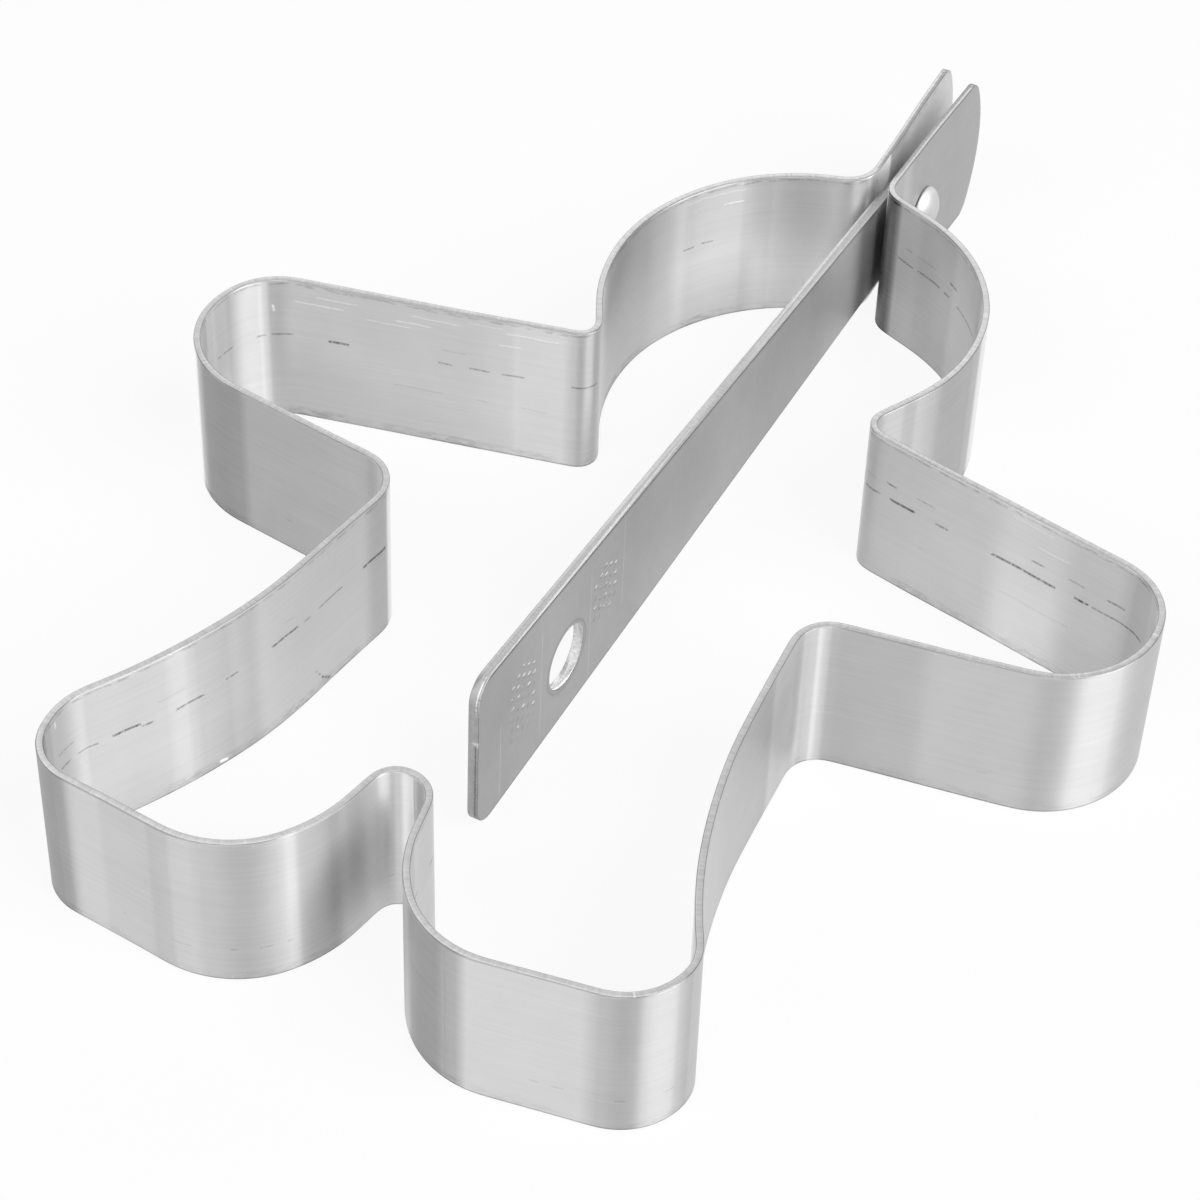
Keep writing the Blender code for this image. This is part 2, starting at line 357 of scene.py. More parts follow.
def read(at: Points, along: Points, line: Points) -> Points:
    """Read a line's points at the given places along it."""
    return join(*(np.interp(at, along, column) for column in line.T))


def quarter_round(radius: float) -> tuple[Points, Points]:
    """Give a worn edge's insets from its two sides, r (1 - sin a) and r (1 - cos a)."""
    angle = np.linspace(0.0, np.pi / 2.0, 4)
    return radius * (1.0 - np.sin(angle)), radius * (1.0 - np.cos(angle))


@dataclass(frozen=True)
class Corner:
    """Where two straight runs would meet, and the radius that rounds them."""

    a: float
    b: float
    radius: float = 0.0


def rounded_line(corners: Sequence[Corner], run_step: float, turn_step: float) -> Points:
    """Join corners by straight runs and tangent arcs.

    An arc of radius r between runs that meet at an angle t leaves each of them
    r / tan(t / 2) short of their corner.  Arcs that share a run too short for
    both shrink together.

    Args:
        corners: The line's corners, whose first and last stay sharp.
        run_step: The longest step along a straight run.
        turn_step: The largest turn between two points of an arc, in radians.

    Returns:
        The line's points, two numbers each.
    """
    places = np.array([(corner.a, corner.b) for corner in corners])
    runs = np.diff(places, axis=0)
    lengths = np.linalg.norm(runs, axis=1)
    units = runs / lengths[:, None]
    half = np.arccos(np.clip(-(units[:-1] * units[1:]).sum(axis=1), -1.0, 1.0)) / 2.0
    radii = np.array([corner.radius for corner in corners[1:-1]])
    reach = np.concatenate([[0.0], radii / np.tan(half), [0.0]])
    fit = np.minimum(1.0, 0.996 * lengths / np.maximum(reach[:-1] + reach[1:], 1e-12))
    reach[1:-1] *= np.minimum(fit[:-1], fit[1:])
    pieces = [places[:1]]
    for index in range(1, len(corners)):
        start = pieces[-1][-1]
        end = places[index] - units[index - 1] * reach[index]
        steps = max(1, math.ceil(np.linalg.norm(end - start) / run_step))
        pieces.append(start + (end - start) * np.linspace(0.0, 1.0, steps + 1)[1:, None])
        if 0 < index < len(corners) - 1 and reach[index] > 0.0:
            back, ahead = -units[index - 1], units[index]
            bisector = (back + ahead) / np.linalg.norm(back + ahead)
            middle = places[index] + bisector * reach[index] / math.cos(half[index - 1])
            spoke = end - middle
            side = back[1] * ahead[0] - back[0] * ahead[1]
            turn = math.copysign(math.pi - 2.0 * half[index - 1], side)
            steps = max(2, math.ceil(abs(turn) / turn_step))
            angle = turn * np.linspace(0.0, 1.0, steps + 1)[1:]
            cos, sin = np.cos(angle), np.sin(angle)
            arc = join(spoke[0] * cos - spoke[1] * sin, spoke[0] * sin + spoke[1] * cos)
            pieces.append(middle + arc)
    return np.concatenate(pieces)


def arc_length(line: Points) -> Points:
    """Give each point's distance along the line."""
    return np.concatenate([[0.0], np.cumsum(np.linalg.norm(np.diff(line, axis=0), axis=1))])


def ripple(along: Points, waves: Triples) -> Points:
    """Add up sine waves given as (height, length, phase in turns)."""
    total = np.zeros_like(along)
    for height, length, phase in waves:
        total = total + height * np.sin(2.0 * np.pi * (along / length + phase))
    return total


# Finishes


@dataclass(frozen=True)
class Steel:
    """Stainless steel with fine lines along one direction of its surface.

    Attributes:
        colour: Its reflected grey, linear.
        roughness: Roughness of its clean surface.
        anisotropy: How much further light spreads across the lines.
        streak: Share of grey that the lines vary.
        lines_turn: The part of a turn from the renderer's own axis to the lines.
    """

    colour: float
    roughness: float
    anisotropy: float
    streak: float
    lines_turn: ClassVar[float] = 0.25

    def open(self, name: str) -> tuple[bpy.types.Material, Lay]:
        """Make an empty material, and read the lay that the finish is drawn on."""
        material = bpy.data.materials.new(name)
        graph = empty_graph(material)
        lay = graph.node("ShaderNodeAttribute", {"attribute_name": "lay"})["Vector"]
        parts = graph.node("ShaderNodeSeparateXYZ", None, {"Vector": lay})
        return material, Lay(graph, parts["X"], parts["Y"], parts["Z"])

    def shade(self, graph: Graph, tone: Wire) -> Wire:
        """Give the finish's grey times 1 + tone, tone between -1 and 1."""
        return graph.blend(tone * 0.5 + 0.5, grey(0.0), grey(2.0 * self.colour))

    def close(self, graph: Graph, colour: Wire, roughness: Wire, height: Wire, depth: float) -> None:
        """Join the finish's colour, roughness and relief to the surface.

        Args:
            graph: The material's graph.
            colour: What the surface reflects.
            roughness: How it spreads light.
            height: Its relief, as a share of depth.
            depth: How high the relief is.
        """
        relief = {"Strength": 1.0, "Distance": depth, "Height": height}
        bump = graph.node("ShaderNodeBump", None, relief)["Normal"]
        values = {
            "Base Color": colour,
            "Metallic": 1.0,
            "Roughness": roughness,
            "Normal": bump,
            "Anisotropic": self.anisotropy,
            "Anisotropic Rotation": self.lines_turn,
        }
        surface = graph.node("ShaderNodeBsdfPrincipled", None, values)["BSDF"]
        graph.node("ShaderNodeOutputMaterial", None, {"Surface": surface})


@dataclass(frozen=True)
class Mark:
    """One row of marks along the strip, such as roll scores or scratches.

    Attributes:
        height: The row's height above the lower edge.
        half_width: Half of its line's width.
        tone: Share by which it is lighter than the steel, or darker.
        spans: Where it shows along the strip, as (start, end).
        outside: Whether it is on the outer face.
    """

    height: float
    half_width: float
    tone: float
    spans: Pairs
    outside: bool = False


@dataclass(frozen=True)
class PaintedLightStretch:
    """A stretch of one face painted lighter or darker: painted reflection or painted shade.

    Attributes:
        start: Where it starts along the strip.
        end: Where it ends.
        tone: Share by which it is lighter, or darker.
        soft: Length over which it fades beyond its ends.
        outside: Whether it is on the outer face.
        upper: 0 where it is even, 1 or -1 where it fades out downwards or upwards.
    """

    start: float
    end: float
    tone: float
    soft: float
    outside: bool
    upper: float = 0.0

    def weigh(self, along: Points, high: Points) -> Points:
        """Give its tone: a raised plateau with eased flanks, faded over the height.

        Args:
            along: The points' places along the strip.
            high: Their heights, 0 at the lower edge and 1 at the upper one.
        """
        away = np.abs(along - (self.start + self.end) / 2.0) - (self.end - self.start) / 2.0
        share = np.clip(1.0 - away / self.soft, 0.0, 1.0)
        kept = np.clip((high if self.upper > 0.0 else 1.0 - high) / 0.6 - 0.33, 0.0, 1.0)
        fade = 1.0 - abs(self.upper) * (1.0 - kept * kept * (3.0 - 2.0 * kept))
        return self.tone * share * share * (3.0 - 2.0 * share) * fade


@dataclass(frozen=True)
class Scratch:
    """A single straight scratch on the strip.

    Attributes:
        start: One end, along and up the strip.
        end: The other end.
        half_width: Half of its width.
        tone: Share by which it is lighter than the steel, or darker.
    """

    start: tuple[float, float]
    end: tuple[float, float]
    half_width: float
    tone: float


@dataclass(frozen=True)
class StripFinish(Steel):
    """The ring strip's finish: rolled lines, scores and rough slit edges.

    Attributes:
        height: The strip's height.
        length: The strip's length.
        marks: The rows of marks on its faces.
        hidden: Stretches of the inner face that get scores by chance.
        scratches: The single scratches on the inner face.
        hidden_row: The height of the scores that are drawn by chance.
        slot: From a crown, where the slot between the tabs ends, and where its dullness does.
    """

    height: float
    length: float
    marks: tuple[Mark, ...]
    hidden: Pairs
    scratches: tuple[Scratch, ...]
    hidden_row: ClassVar[float] = 12.05 * MM
    slot: ClassVar[tuple[float, float]] = (22.0 * MM, 27.0 * MM)

    def single(self, on: Lay, inside: Wire) -> Wire:
        """Draw the single scratches.

        A point's share t of the way from start to end is clamped, and the
        scratch shows where the point is near start + t * (end - start).
        """
        rough = (on.lumps(0.4, 0.4, 51.0) - 0.5) * (0.3 * MM)
        total: Value = 0.0
        for scratch in self.scratches:
            (left, low), (right, high) = scratch.start, scratch.end
            run, rise = right - left, high - low
            square = run**2 + rise**2
            a, b = on.along - left + rough, on.up - low
            t = (a * (run / square) + b * (rise / square)).ramp(0.0, 1.0)
            off_a, off_b = a - t * run, b - t * rise
            away = (off_a * off_a + off_b * off_b).math("SQRT")
            total = total + away.ramp(scratch.half_width * 2.0, scratch.half_width * 0.5) * scratch.tone
        return total * inside

    def grain(self, on: Lay, sheet: Wire) -> tuple[Wire, Wire]:
        """Draw the rolled lines.

        Returns:
            The lines' tone, and their fine part alone for the relief.
        """
        fine = on.lumps(7.0, 0.1, sheet, 2.0, 0.6)
        lines = on.lumps(38.0, 0.45, sheet + 3.0)
        cloud = on.lumps(5.0, 7.0, sheet + 9.0, 3.0)
        tone = (fine - 0.5) * self.streak + (lines - 0.5) * self.streak * 0.8 + (cloud - 0.5) * 0.1
        return tone, fine

    def rows(self, on: Lay, inside: Wire) -> Wire:
        """Draw the rows of marks, broken up finely as a slipping roll leaves them."""
        drift = on.lumps(4.0, 0.0, 2.0, 1.0)
        waver = on.lumps(0.5, 0.0, 5.0)
        line = on.up + (drift - 0.5) * (0.5 * MM) + (waver - 0.5) * (0.12 * MM)
        chatter = waver.ramp(0.3, 0.62) * 0.65 + 0.35
        edge = on.along + (on.lumps(1.2, 0.2, 1.0) - 0.5) * MM
        total: Value = 0.0
        for row in self.marks:
            face = (1.0 - inside) if row.outside else inside
            shown = line.band(row.height, row.half_width * 0.5, row.half_width) * edge.over(row.spans)
            total = total + shown * face * row.tone
        return total * chatter

    def chance_scores(self, on: Lay, inside: Wire) -> Wire:
        """Draw broken scores on the inner face's hidden stretches."""
        dash = on.lumps(3.5, 0.0, 21.0, 2.0, 0.6).ramp(0.5, 0.6)
        line = on.up + (on.lumps(4.0, 0.0, 2.0, 1.0) - 0.5) * (0.5 * MM)
        row = line.band(self.hidden_row, 0.06 * MM, 0.14 * MM)
        return row * dash * on.along.over(self.hidden) * inside * -0.4

    def edges(self, on: Lay, inside: Wire) -> Wire:
        """Draw the slit edges: dark margins, painted shade along the lower edge and on the cut's
        rounding, a rough band and small nicks.
        """
        up, top, cut = on.up, self.height, on.held("cut")
        ragged = on.lumps(1.6, 0.5, 31.0, 3.0, 0.65)
        slow = on.lumps(14.0, 0.0, 37.0, 1.0)
        margin = up.band(top - 0.45 * MM, 0.06 * MM, 0.22 * MM) * ragged.ramp(0.42, 0.6) * inside
        # Painted shade along the lower edge, where the strip stands on the floor.
        lip = up.ramp(0.35 * MM, 0.12 * MM)
        band = up.ramp(1.5 * MM, 0.9 * MM) * (0.4 + inside * 0.6) * slow.ramp(0.35, 0.6)
        grit = on.lumps(0.35, 0.3, cut * 2.0, 3.0, 0.7)
        # Painted shade: the band over the cut's rounding is darkened so that it shows no bright line of
        # light.
        shelf = cut.ramp(0.3, 0.9) * ((grit - 0.5) * 0.5 - 0.24) - cut.band(0.4, 0.15, 0.2) * 0.5
        near = up.ramp(1.1 * MM, 0.5 * MM) + up.ramp(top - 1.1 * MM, top - 0.5 * MM)
        nick = on.lumps(0.45, 0.3, 47.0, 1.0).ramp(0.7, 0.78)
        dark = margin * -0.3 + lip * -0.4 + band * (ragged.ramp(0.35, 0.65) * -0.3)
        return dark + shelf + near * nick * 0.25

    def make(self, name: str) -> bpy.types.Material:
        """Draw the finish on the strip's lay, duller in the slot between the tabs."""
        material, on = self.open(name)
        inside = on.across.ramp(0.1 * MM, -0.1 * MM)
        tone, fine = self.grain(on, inside * 7.0)
        marks = self.rows(on, inside) + self.chance_scores(on, inside) + self.single(on, inside)
        # The tone read from the mesh here is painted reflection and painted shade, summed over the
        # strip's stretches.
        colour = self.shade(on.graph, tone + marks + self.edges(on, inside) + on.held("painted_light"))
        from_end = on.along.math("PINGPONG", self.length / 2.0)
        slot = from_end.ramp(self.slot[1], self.slot[0]) * inside
        roughness = self.roughness + (fine - 0.5) * 0.06 + marks.absolute() * 0.2 + slot * 0.5
        self.close(on.graph, colour, roughness, fine + marks * 2.0, 0.003 * MM)
        return material


@dataclass(frozen=True)
class Panel:
    """A small stamped panel of plain dimples on the bar's face.

    Attributes:
        start: Where it starts, from the pivot towards the free end.
        low: The phase of its rows, as a height in the bar's own frame.
        columns: How many columns of dimples it has along the bar.
        bottom: Height under which its dimples fade.
        top: Height above which it has none, at its peak.
        peak: Where along the bar it reaches highest.
        column_pitch: From one column to the next.
        row_pitch: From one dimple of a column to the next.
    """

    start: float
    low: float
    peak: float
    columns: int = 5
    bottom: float = -2.6 * MM
    top: float = 5.75 * MM
    column_pitch: float = 1.15 * MM
    row_pitch: float = 1.5 * MM


@dataclass(frozen=True)
class HandleFinish(Steel):
    """The handle bar's finish, with scribed lines and two dimpled panels.

    Attributes:
        bar: The bar that it is on.
        panels: The dimpled panels.
        scribes: Where fine light lines cross the face, as (place, low, high).
    """

    bar: "LiftHandle"
    panels: tuple[Panel, ...]
    scribes: Triples

    def dimples(self, on: Lay) -> tuple[Wire, Wire]:
        """Draw the panels.

        Each column of cells is half a row higher than the one before it.  In a
        cell, a dimple's depth eases from its centre out to its rim, and a small
        long painted highlight along the bar sits on its lower side.

        Returns:
            The dimples' depth and their painted highlight, each 0 to 1.
        """
        depth: Value = 0.0
        painted_glint: Value = 0.0
        # Where the painted highlights show: by chance, and more often higher up the bar.
        painted_highlight = (on.lumps(0.9, 0.8, 3.0, 1.0) + (on.up - MM) * (0.03 / MM)).ramp(0.46, 0.6)
        for panel in self.panels:
            pitch, row = panel.column_pitch, panel.row_pitch
            step = row / 2.0 / pitch
            from_start = on.along - panel.start
            a = ((from_start / pitch).math("FRACT") - 0.5) * pitch
            b = ((on.up - panel.low - from_start * step) / row).math("FRACT") - 0.5
            climb = b * row + a * step
            peaked = on.up + (on.along - panel.peak).absolute() * step
            area = on.along.within(panel.start, panel.start + panel.columns * pitch)
            area = area * on.up.ramp(panel.bottom - 1.5 * MM, panel.bottom)
            area = area * peaked.ramp(panel.top, panel.top - 0.1 * MM)
            long, high = a / (0.48 * MM), climb / (0.42 * MM)
            depth = depth + (long * long + high * high).ramp(1.0, 0.2) * area
            long, high = (a + 0.05 * MM) / (0.4 * MM), (climb - 0.06 * MM) / (0.17 * MM)
            painted_glint = painted_glint + (long * long + high * high).ramp(1.0, 0.3) * area * painted_highlight
        return depth, painted_glint

    def scribed(self, on: Lay) -> Wire:
        """Draw the scribed lines across the face."""
        lines: Value = 0.0
        for place, low, high in self.scribes:
            line = on.along.band(place, 0.02 * MM, 0.1 * MM)
            lines = lines + line * on.up.band((low + high) / 2.0, (high - low) / 2.0, 1.5 * MM)
        return lines

    def hang_hole(self, on: Lay) -> tuple[Wire, Wire]:
        """Find the ring that the punch pressed round the hang hole, and the hole's own walls."""
        place, height = self.bar.hang_centre()
        radius = self.bar.hang_radius
        east, north = on.along - place, on.up - height
        square = east * east + north * north
        pressed = (square.math("SQRT") - radius).band(0.5 * MM, 0.05 * MM, 0.25 * MM)
        return pressed, square.ramp((radius + 0.5 * MM) ** 2, radius**2)

    def free_end(self, on: Lay, cut: Wire, grit: Wire) -> tuple[Wire, Wire, Wire]:
        """Draw what the shears left on the free end.

        Returns:
            The tear line low on its cut, the burr where that line ends, and
            a painted highlight on the turn of its upper corner, each 0 to 1.
        """
        along, up, across, length = on.along, on.up, on.across, self.bar.length
        tip = along.ramp(length - 0.3 * MM, length - 0.05 * MM)
        wander = (on.lumps(0.0, 0.8, 5.0) - 0.5) * (0.2 * MM)
        tear = (across + wander).band(0.3 * MM, 0.04 * MM, 0.06 * MM) * up.ramp(2.8 * MM, 2.4 * MM)
        burr = up.band(2.9 * MM, 0.1 * MM, 0.5 * MM) * across.ramp(-0.3 * MM, 0.2 * MM)
        # A painted highlight along the cut's rim where the upper corner turns.
        turned = along.ramp(length - 2.6 * MM, length - 2.0 * MM) * up.ramp(6.5 * MM, 8.0 * MM)
        rim = (cut * across.ramp(0.2 * MM, 0.45 * MM)).band(0.4, 0.2, 0.2)
        return tear * tip, burr * tip * grit.ramp(0.4, 0.6), turned * rim * grit.ramp(0.35, 0.5)

    def make(self, name: str) -> bpy.types.Material:
        """Draw the finish on the bar's lay: along, up and across it."""
        material, on = self.open(name)
        along, cut = on.along, on.held("cut")
        face = cut.ramp(0.4, 0.1)
        skin = on.across.ramp(0.2 * MM, -0.2 * MM) * 9.0
        fine = on.lumps(0.14, 1.6, skin, 2.0, 0.6)
        mottle = on.lumps(1.1, 1.5, skin + 4.0, 3.0, 0.6)
        cloud = on.lumps(9.0, 12.0, skin + 8.0)
        grit = on.lumps(0.25, 0.25, on.across / (0.5 * MM), 3.0, 0.7)
        tone = (fine - 0.5) * self.streak + (mottle - 0.5) * 0.14 + (cloud - 0.5) * 0.2
        lines = self.scribed(on)
        depth, painted_glint = self.dimples(on)
        pressed, wall = self.hang_hole(on)
        tear, burr, painted_highlight = self.free_end(on, cut, grit)
        half_width = along * self.bar.slope() + self.bar.pivot_width / 2.0
        margin = (half_width - (on.up - self.bar.rise).absolute()).ramp(0.5 * MM, 0.2 * MM)
        # Painted light: the face is lighter within 30 mm of the pivot, lifting the shade of the slot
        # between the tabs, and a little darker from 64 to 76 mm on.
        held = along.ramp(30.0 * MM, 14.0 * MM) * 0.5 - along.ramp(64.0 * MM, 76.0 * MM) * 0.09
        # The dimples' depth darkens them here as painted shade in their hollows.
        dark = pressed * (0.3 + mottle * 0.5) * 0.3 + margin * 0.16 + depth * 0.1
        on_face = (held + lines * 0.22 + painted_glint * 1.1 - dark) * face
        # Painted shade: the band over the cut edges' rounding is darkened so that it shows no bright
        # line of light.
        sheared = cut.ramp(0.3, 0.9) * ((grit - 0.5) * 0.4 - 0.2) - cut.band(0.4, 0.15, 0.22) * 0.7
        # The cut edges are a little darker all along, and darker within 14 mm of the pivot as painted
        # shade in the slot between the tabs.
        worn = (1.0 - face) * (along.ramp(14.0 * MM, 7.0 * MM) * -0.1 - 0.05)
        # The hang hole's wall is made lighter, broken up by grit: a painted highlight.
        on_cut = sheared + worn + wall * cut * (grit * 0.7 + 0.05)
        at_end = burr * 0.5 + painted_highlight * 0.8 - tear * 0.38
        colour = self.shade(on.graph, tone + on_face + on_cut + at_end)
        roughness = self.roughness + (mottle - 0.5) * 0.08 + (1.0 - face) * 0.05
        relief = fine * 0.04 + mottle * 0.06 + lines * 0.2 - depth * face
        self.close(on.graph, colour, roughness, relief, 0.06 * MM)
        return material


@dataclass(frozen=True)
class RivetFinish(Steel):
    """The rivet's finish: bright, with the setting tool's faint rings and painted light towards the
    heads' rims.
    """

    def make(self, name: str) -> bpy.types.Material:
        """Draw the finish on the rivet's lay: along its axis, out from it and round it."""
        material, on = self.open(name)
        graph = on.graph
        here = graph.node("ShaderNodeTexCoord")["Object"]
        rings = on.lumps(0.0, 0.25, 0.0)
        scale = graph.node("ShaderNodeVectorMath", {"operation": "SCALE"}, {0: here, "Scale": 1.0 / MM})
        pits = graph.noise(scale["Vector"], 3.0, 0.6)
        # Painted light: the heads are lighter towards their rims, lifting the shade on their steep
        # edges.
        tone = (rings - 0.5) * self.streak + (pits - 0.5) * 0.1 + on.up.ramp(2.1 * MM, 2.8 * MM) * 0.14
        roughness = self.roughness + (pits - 0.5) * 0.1
        self.close(graph, self.shade(graph, tone), roughness, rings + pits, 0.004 * MM)
        return material


# The ring's pieces


@dataclass(frozen=True)
class RingStrip:
    """The strip on edge, shaped to the figure, its ends standing as two tabs.

    Attributes:
        height: The strip's height.
        thickness: The strip's thickness.
        edge_radius: How far its slit edges are worn round.
        blend_length: Length over which a bend eases into the next run.
        tab_reach: From the rivet to the right tab's crown.
        tab_radius: Radius of the tabs' ends.
        left_tab_extra: How much further the left tab reaches.
        tab_corner: Radius where the arc meets the strip's edges.
        tab_splay: How far each tab leans out over its length.
        tab_lean: How far both tabs lean to the left over their length.
        half_gap: From the handle's plane to a tab's inner face at its root.
        plane_x: X of the handle's plane.
        pivot_y: Y of the rivet.
        arm_span: From hand to hand.
        left_arm_extra: How much nearer the left hand is than half of the span.
        stretches: The stretches of painted reflection and painted shade, lighter or darker.
        end_fade: Length over which a tab's end gives way to the plain strip.
        waves: Its walls' ripples, as (height, length, phase in turns).
        leans: Its walls' lean from upright, given in the same way.
    """

    height: float
    thickness: float = 0.8 * MM
    edge_radius: float = 0.14 * MM
    blend_length: float = 0.6 * MM
    tab_reach: float = 16.85 * MM
    tab_radius: float = 19.0 * MM
    left_tab_extra: float = 1.25 * MM
    tab_corner: float = 1.3 * MM
    tab_splay: float = 0.76 * MM
    tab_lean: float = 0.3 * MM
    half_gap: float = 0.98 * MM
    plane_x: float = -0.1 * MM
    pivot_y: float = 60.9 * MM
    arm_span: float = 117.4 * MM
    left_arm_extra: float = 0.4 * MM
    stretches: tuple[PaintedLightStretch, ...] = ()
    end_fade: ClassVar[float] = 12.0 * MM
    waves: ClassVar[Triples] = (
        (0.035 * MM, 23.0 * MM, 0.1),
        (0.05 * MM, 41.0 * MM, 0.6),
        (0.04 * MM, 67.0 * MM, 0.3),
    )
    leans: ClassVar[Triples] = ((0.0022, 37.0 * MM, 0.2), (0.003, 71.0 * MM, 0.7))

    def corners(self, side: Side) -> list[Corner]:
        """List one side's corners from the tab's crown to the crotch."""
        sign = side.value
        bend_x = self.plane_x + sign * (self.half_gap + self.thickness / 2.0)
        hand = self.arm_span / 2.0 - sign * self.left_arm_extra
        if side is Side.RIGHT:
            figure = [
                Corner(30.2 * MM, 39.7 * MM, 21.2 * MM),
                Corner(15.8 * MM, 10.6 * MM, 2.2 * MM),
                Corner(hand - 3.6 * MM, 3.0 * MM, 8.2 * MM),
                Corner(hand, -13.7 * MM, 11.0 * MM),
                Corner(23.65 * MM, -19.55 * MM, 4.1 * MM),
                Corner(26.1 * MM, -51.3 * MM, 63.0 * MM),
                Corner(34.6 * MM, -65.8 * MM, 5.5 * MM),
                Corner(33.0 * MM, -73.1 * MM, 7.6 * MM),
                Corner(9.8 * MM, -76.8 * MM, 11.4 * MM),
                Corner(3.6 * MM, -68.0 * MM, 15.4 * MM),
                Corner(2.0 * MM, -58.2 * MM, 3.6 * MM),
            ]
            bend = Corner(bend_x, 49.6 * MM, 2.7 * MM)
            crown = self.pivot_y + self.tab_reach
        else:
            figure = [
                Corner(-31.3 * MM, 39.1 * MM, 24.1 * MM),
                Corner(-15.7 * MM, 9.5 * MM, 2.0 * MM),
                Corner(4.6 * MM - hand, 0.5 * MM, 7.6 * MM),
                Corner(-hand, -16.1 * MM, 10.8 * MM),
                Corner(-23.35 * MM, -20.7 * MM, 5.0 * MM),
                Corner(-27.55 * MM, -51.8 * MM, 66.0 * MM),
                Corner(-36.5 * MM, -66.4 * MM, 8.5 * MM),
                Corner(-35.3 * MM, -74.8 * MM, 6.0 * MM),
                Corner(-11.7 * MM, -77.1 * MM, 12.5 * MM),
                Corner(-5.3 * MM, -67.4 * MM, 16.5 * MM),
                Corner(-3.7 * MM, -58.0 * MM, 2.9 * MM),
            ]
            bend = Corner(bend_x, 50.4 * MM, 3.8 * MM)
            crown = self.pivot_y + self.tab_reach + self.left_tab_extra
        return [Corner(bend_x + sign * self.tab_splay - self.tab_lean, crown), bend, *figure]

    def seat(self, side: Side) -> float:
        """Find X of a tab's outer face at the rivet, on the line from bend to crown."""
        crown, bend = self.corners(side)[:2]
        share = (self.pivot_y - bend.b) / (crown.b - bend.b)
        return bend.a + (crown.a - bend.a) * share + side.value * self.thickness / 2.0

    def centre_line(self) -> tuple[Points, Points, Points]:
        """Work out the strip's centre line from crown to crown.

        The line of runs and arcs is eased by a Gaussian of blend_length, and
        then read at stations that are closer where it turns: their density is
        the larger of one per 0.6 mm and one per 3 degrees of turn.

        Returns:
            Each station's distance along the strip, its place and its outward
            normal in the plane.
        """
        corners = self.corners(Side.RIGHT) + self.corners(Side.LEFT)[::-1]
        line = rounded_line(corners, 0.5 * MM, math.radians(2.0))
        length = arc_length(line)
        step = 0.1 * MM
        even = np.arange(0.0, length[-1], step)
        line = read(even, length, line)
        reach = int(4.0 * self.blend_length / step)
        kernel = np.exp(-0.5 * (np.arange(-reach, reach + 1) * step / self.blend_length) ** 2)
        kernel /= kernel.sum()
        ahead = 2.0 * line[:1] - line[reach:0:-1]
        behind = 2.0 * line[-1:] - line[-2 : -reach - 2 : -1]
        padded = np.concatenate([ahead, line, behind])
        line = join(*(np.convolve(column, kernel, "valid") for column in padded.T))
        heading = np.unwrap(np.arctan2(*np.gradient(line, axis=0).T[::-1]))
        turning = np.abs(np.gradient(heading, step)) / math.radians(3.0)
        count = np.cumsum(np.maximum(1.0 / (0.6 * MM), turning)) * step
        station = np.interp(np.linspace(count[0], count[-1], math.ceil(count[-1])), count, even)
        turned = np.interp(station, even, heading)
        return station, read(station, even, line), join(-np.sin(turned), np.cos(turned))

    def length(self) -> float:
        """Give the strip's length from crown to crown."""
        return float(self.centre_line()[0][-1])

    def section(self) -> Points:
        """Draw the strip's cross-section once round, outer face first.

        The heights crowd towards the edges as a raised cosine does, and the
        edges are quarter rounds with a nearly flat land between them.

        Returns:
            Points (across, up), up the outer face and down the inner one.
        """
        half, top = self.thickness / 2.0, self.height
        lead, bead = quarter_round(self.edge_radius)
        share = (1.0 - np.cos(np.linspace(0.0, np.pi, 22))) / 2.0
        rise = self.edge_radius + (top - 2.0 * self.edge_radius) * share
        across = np.concatenate([half - bead[:0:-1], np.full_like(rise, half), half - bead[1:], [0.0]])
        up = np.concatenate([lead[:0:-1], rise, top - lead[1:], [top]])
        outer = join(across, up)
        return np.concatenate([outer, outer[-2::-1] * (-1.0, 1.0), np.zeros((1, 2))])

    def end_shortfall(self, up: Points) -> Points:
        """Find how far the tabs' ends lie short of their crown at a height.

        The end is an arc of tab_radius, whose crown z is at mid height:
        R - sqrt(R^2 - (up - z)^2).  Within tab_corner of an edge, the quarter
        round c - sqrt(c^2 - (c - d)^2) comes off as well, d being the distance
        to the edge.
        """
        away = up - self.height / 2.0
        arc = self.tab_radius - np.sqrt(self.tab_radius**2 - away**2)
        corner = self.tab_corner
        near = np.clip(corner - np.minimum(up, self.height - up), 0.0, corner)
        return arc + corner - np.sqrt(corner**2 - near**2)

    def surface(self) -> tuple[Points, Points]:
        """Carry the section along the centre line.

        A point is place(s) + normal(s) * across + up, where s moves in by the
        ends' shortfall over the last stretch of each tab.  Small ripples in
        across, and a lean that grows with height, keep the walls from being
        perfectly flat, as forming by hand does.

        Returns:
            The grid of points, stations by section, and its lay.
        """
        station, place, normal = self.centre_line()
        section = self.section()
        total = station[-1]
        lead, bead = quarter_round(self.edge_radius)
        inner = station[(station > MM) & (station < total - MM)]
        stations = np.concatenate([lead[::-1], inner, total - lead])[:, None]
        inset = np.concatenate([bead[::-1], np.zeros_like(inner), bead])[:, None]
        half = self.thickness / 2.0 - inset
        across = np.clip(section[:, 0], -half, half)
        up = np.clip(section[:, 1], inset, self.height - inset)
        short = self.end_shortfall(section[:, 1])
        from_start = np.clip(1.0 - stations / self.end_fade, 0.0, 1.0)
        from_end = np.clip(1.0 - (total - stations) / self.end_fade, 0.0, 1.0)
        along = stations + short * (from_start - from_end)
        calm = 1.0 - np.maximum(from_start, from_end)
        lean = ripple(along, self.leans) * (up - self.height / 2.0)
        across = across + (ripple(along, self.waves) + lean) * calm
        flat = read(along, station, place) + read(along, station, normal) * across[..., None]
        return join(flat[..., 0], flat[..., 1], up), join(along, up, section[:, 0])

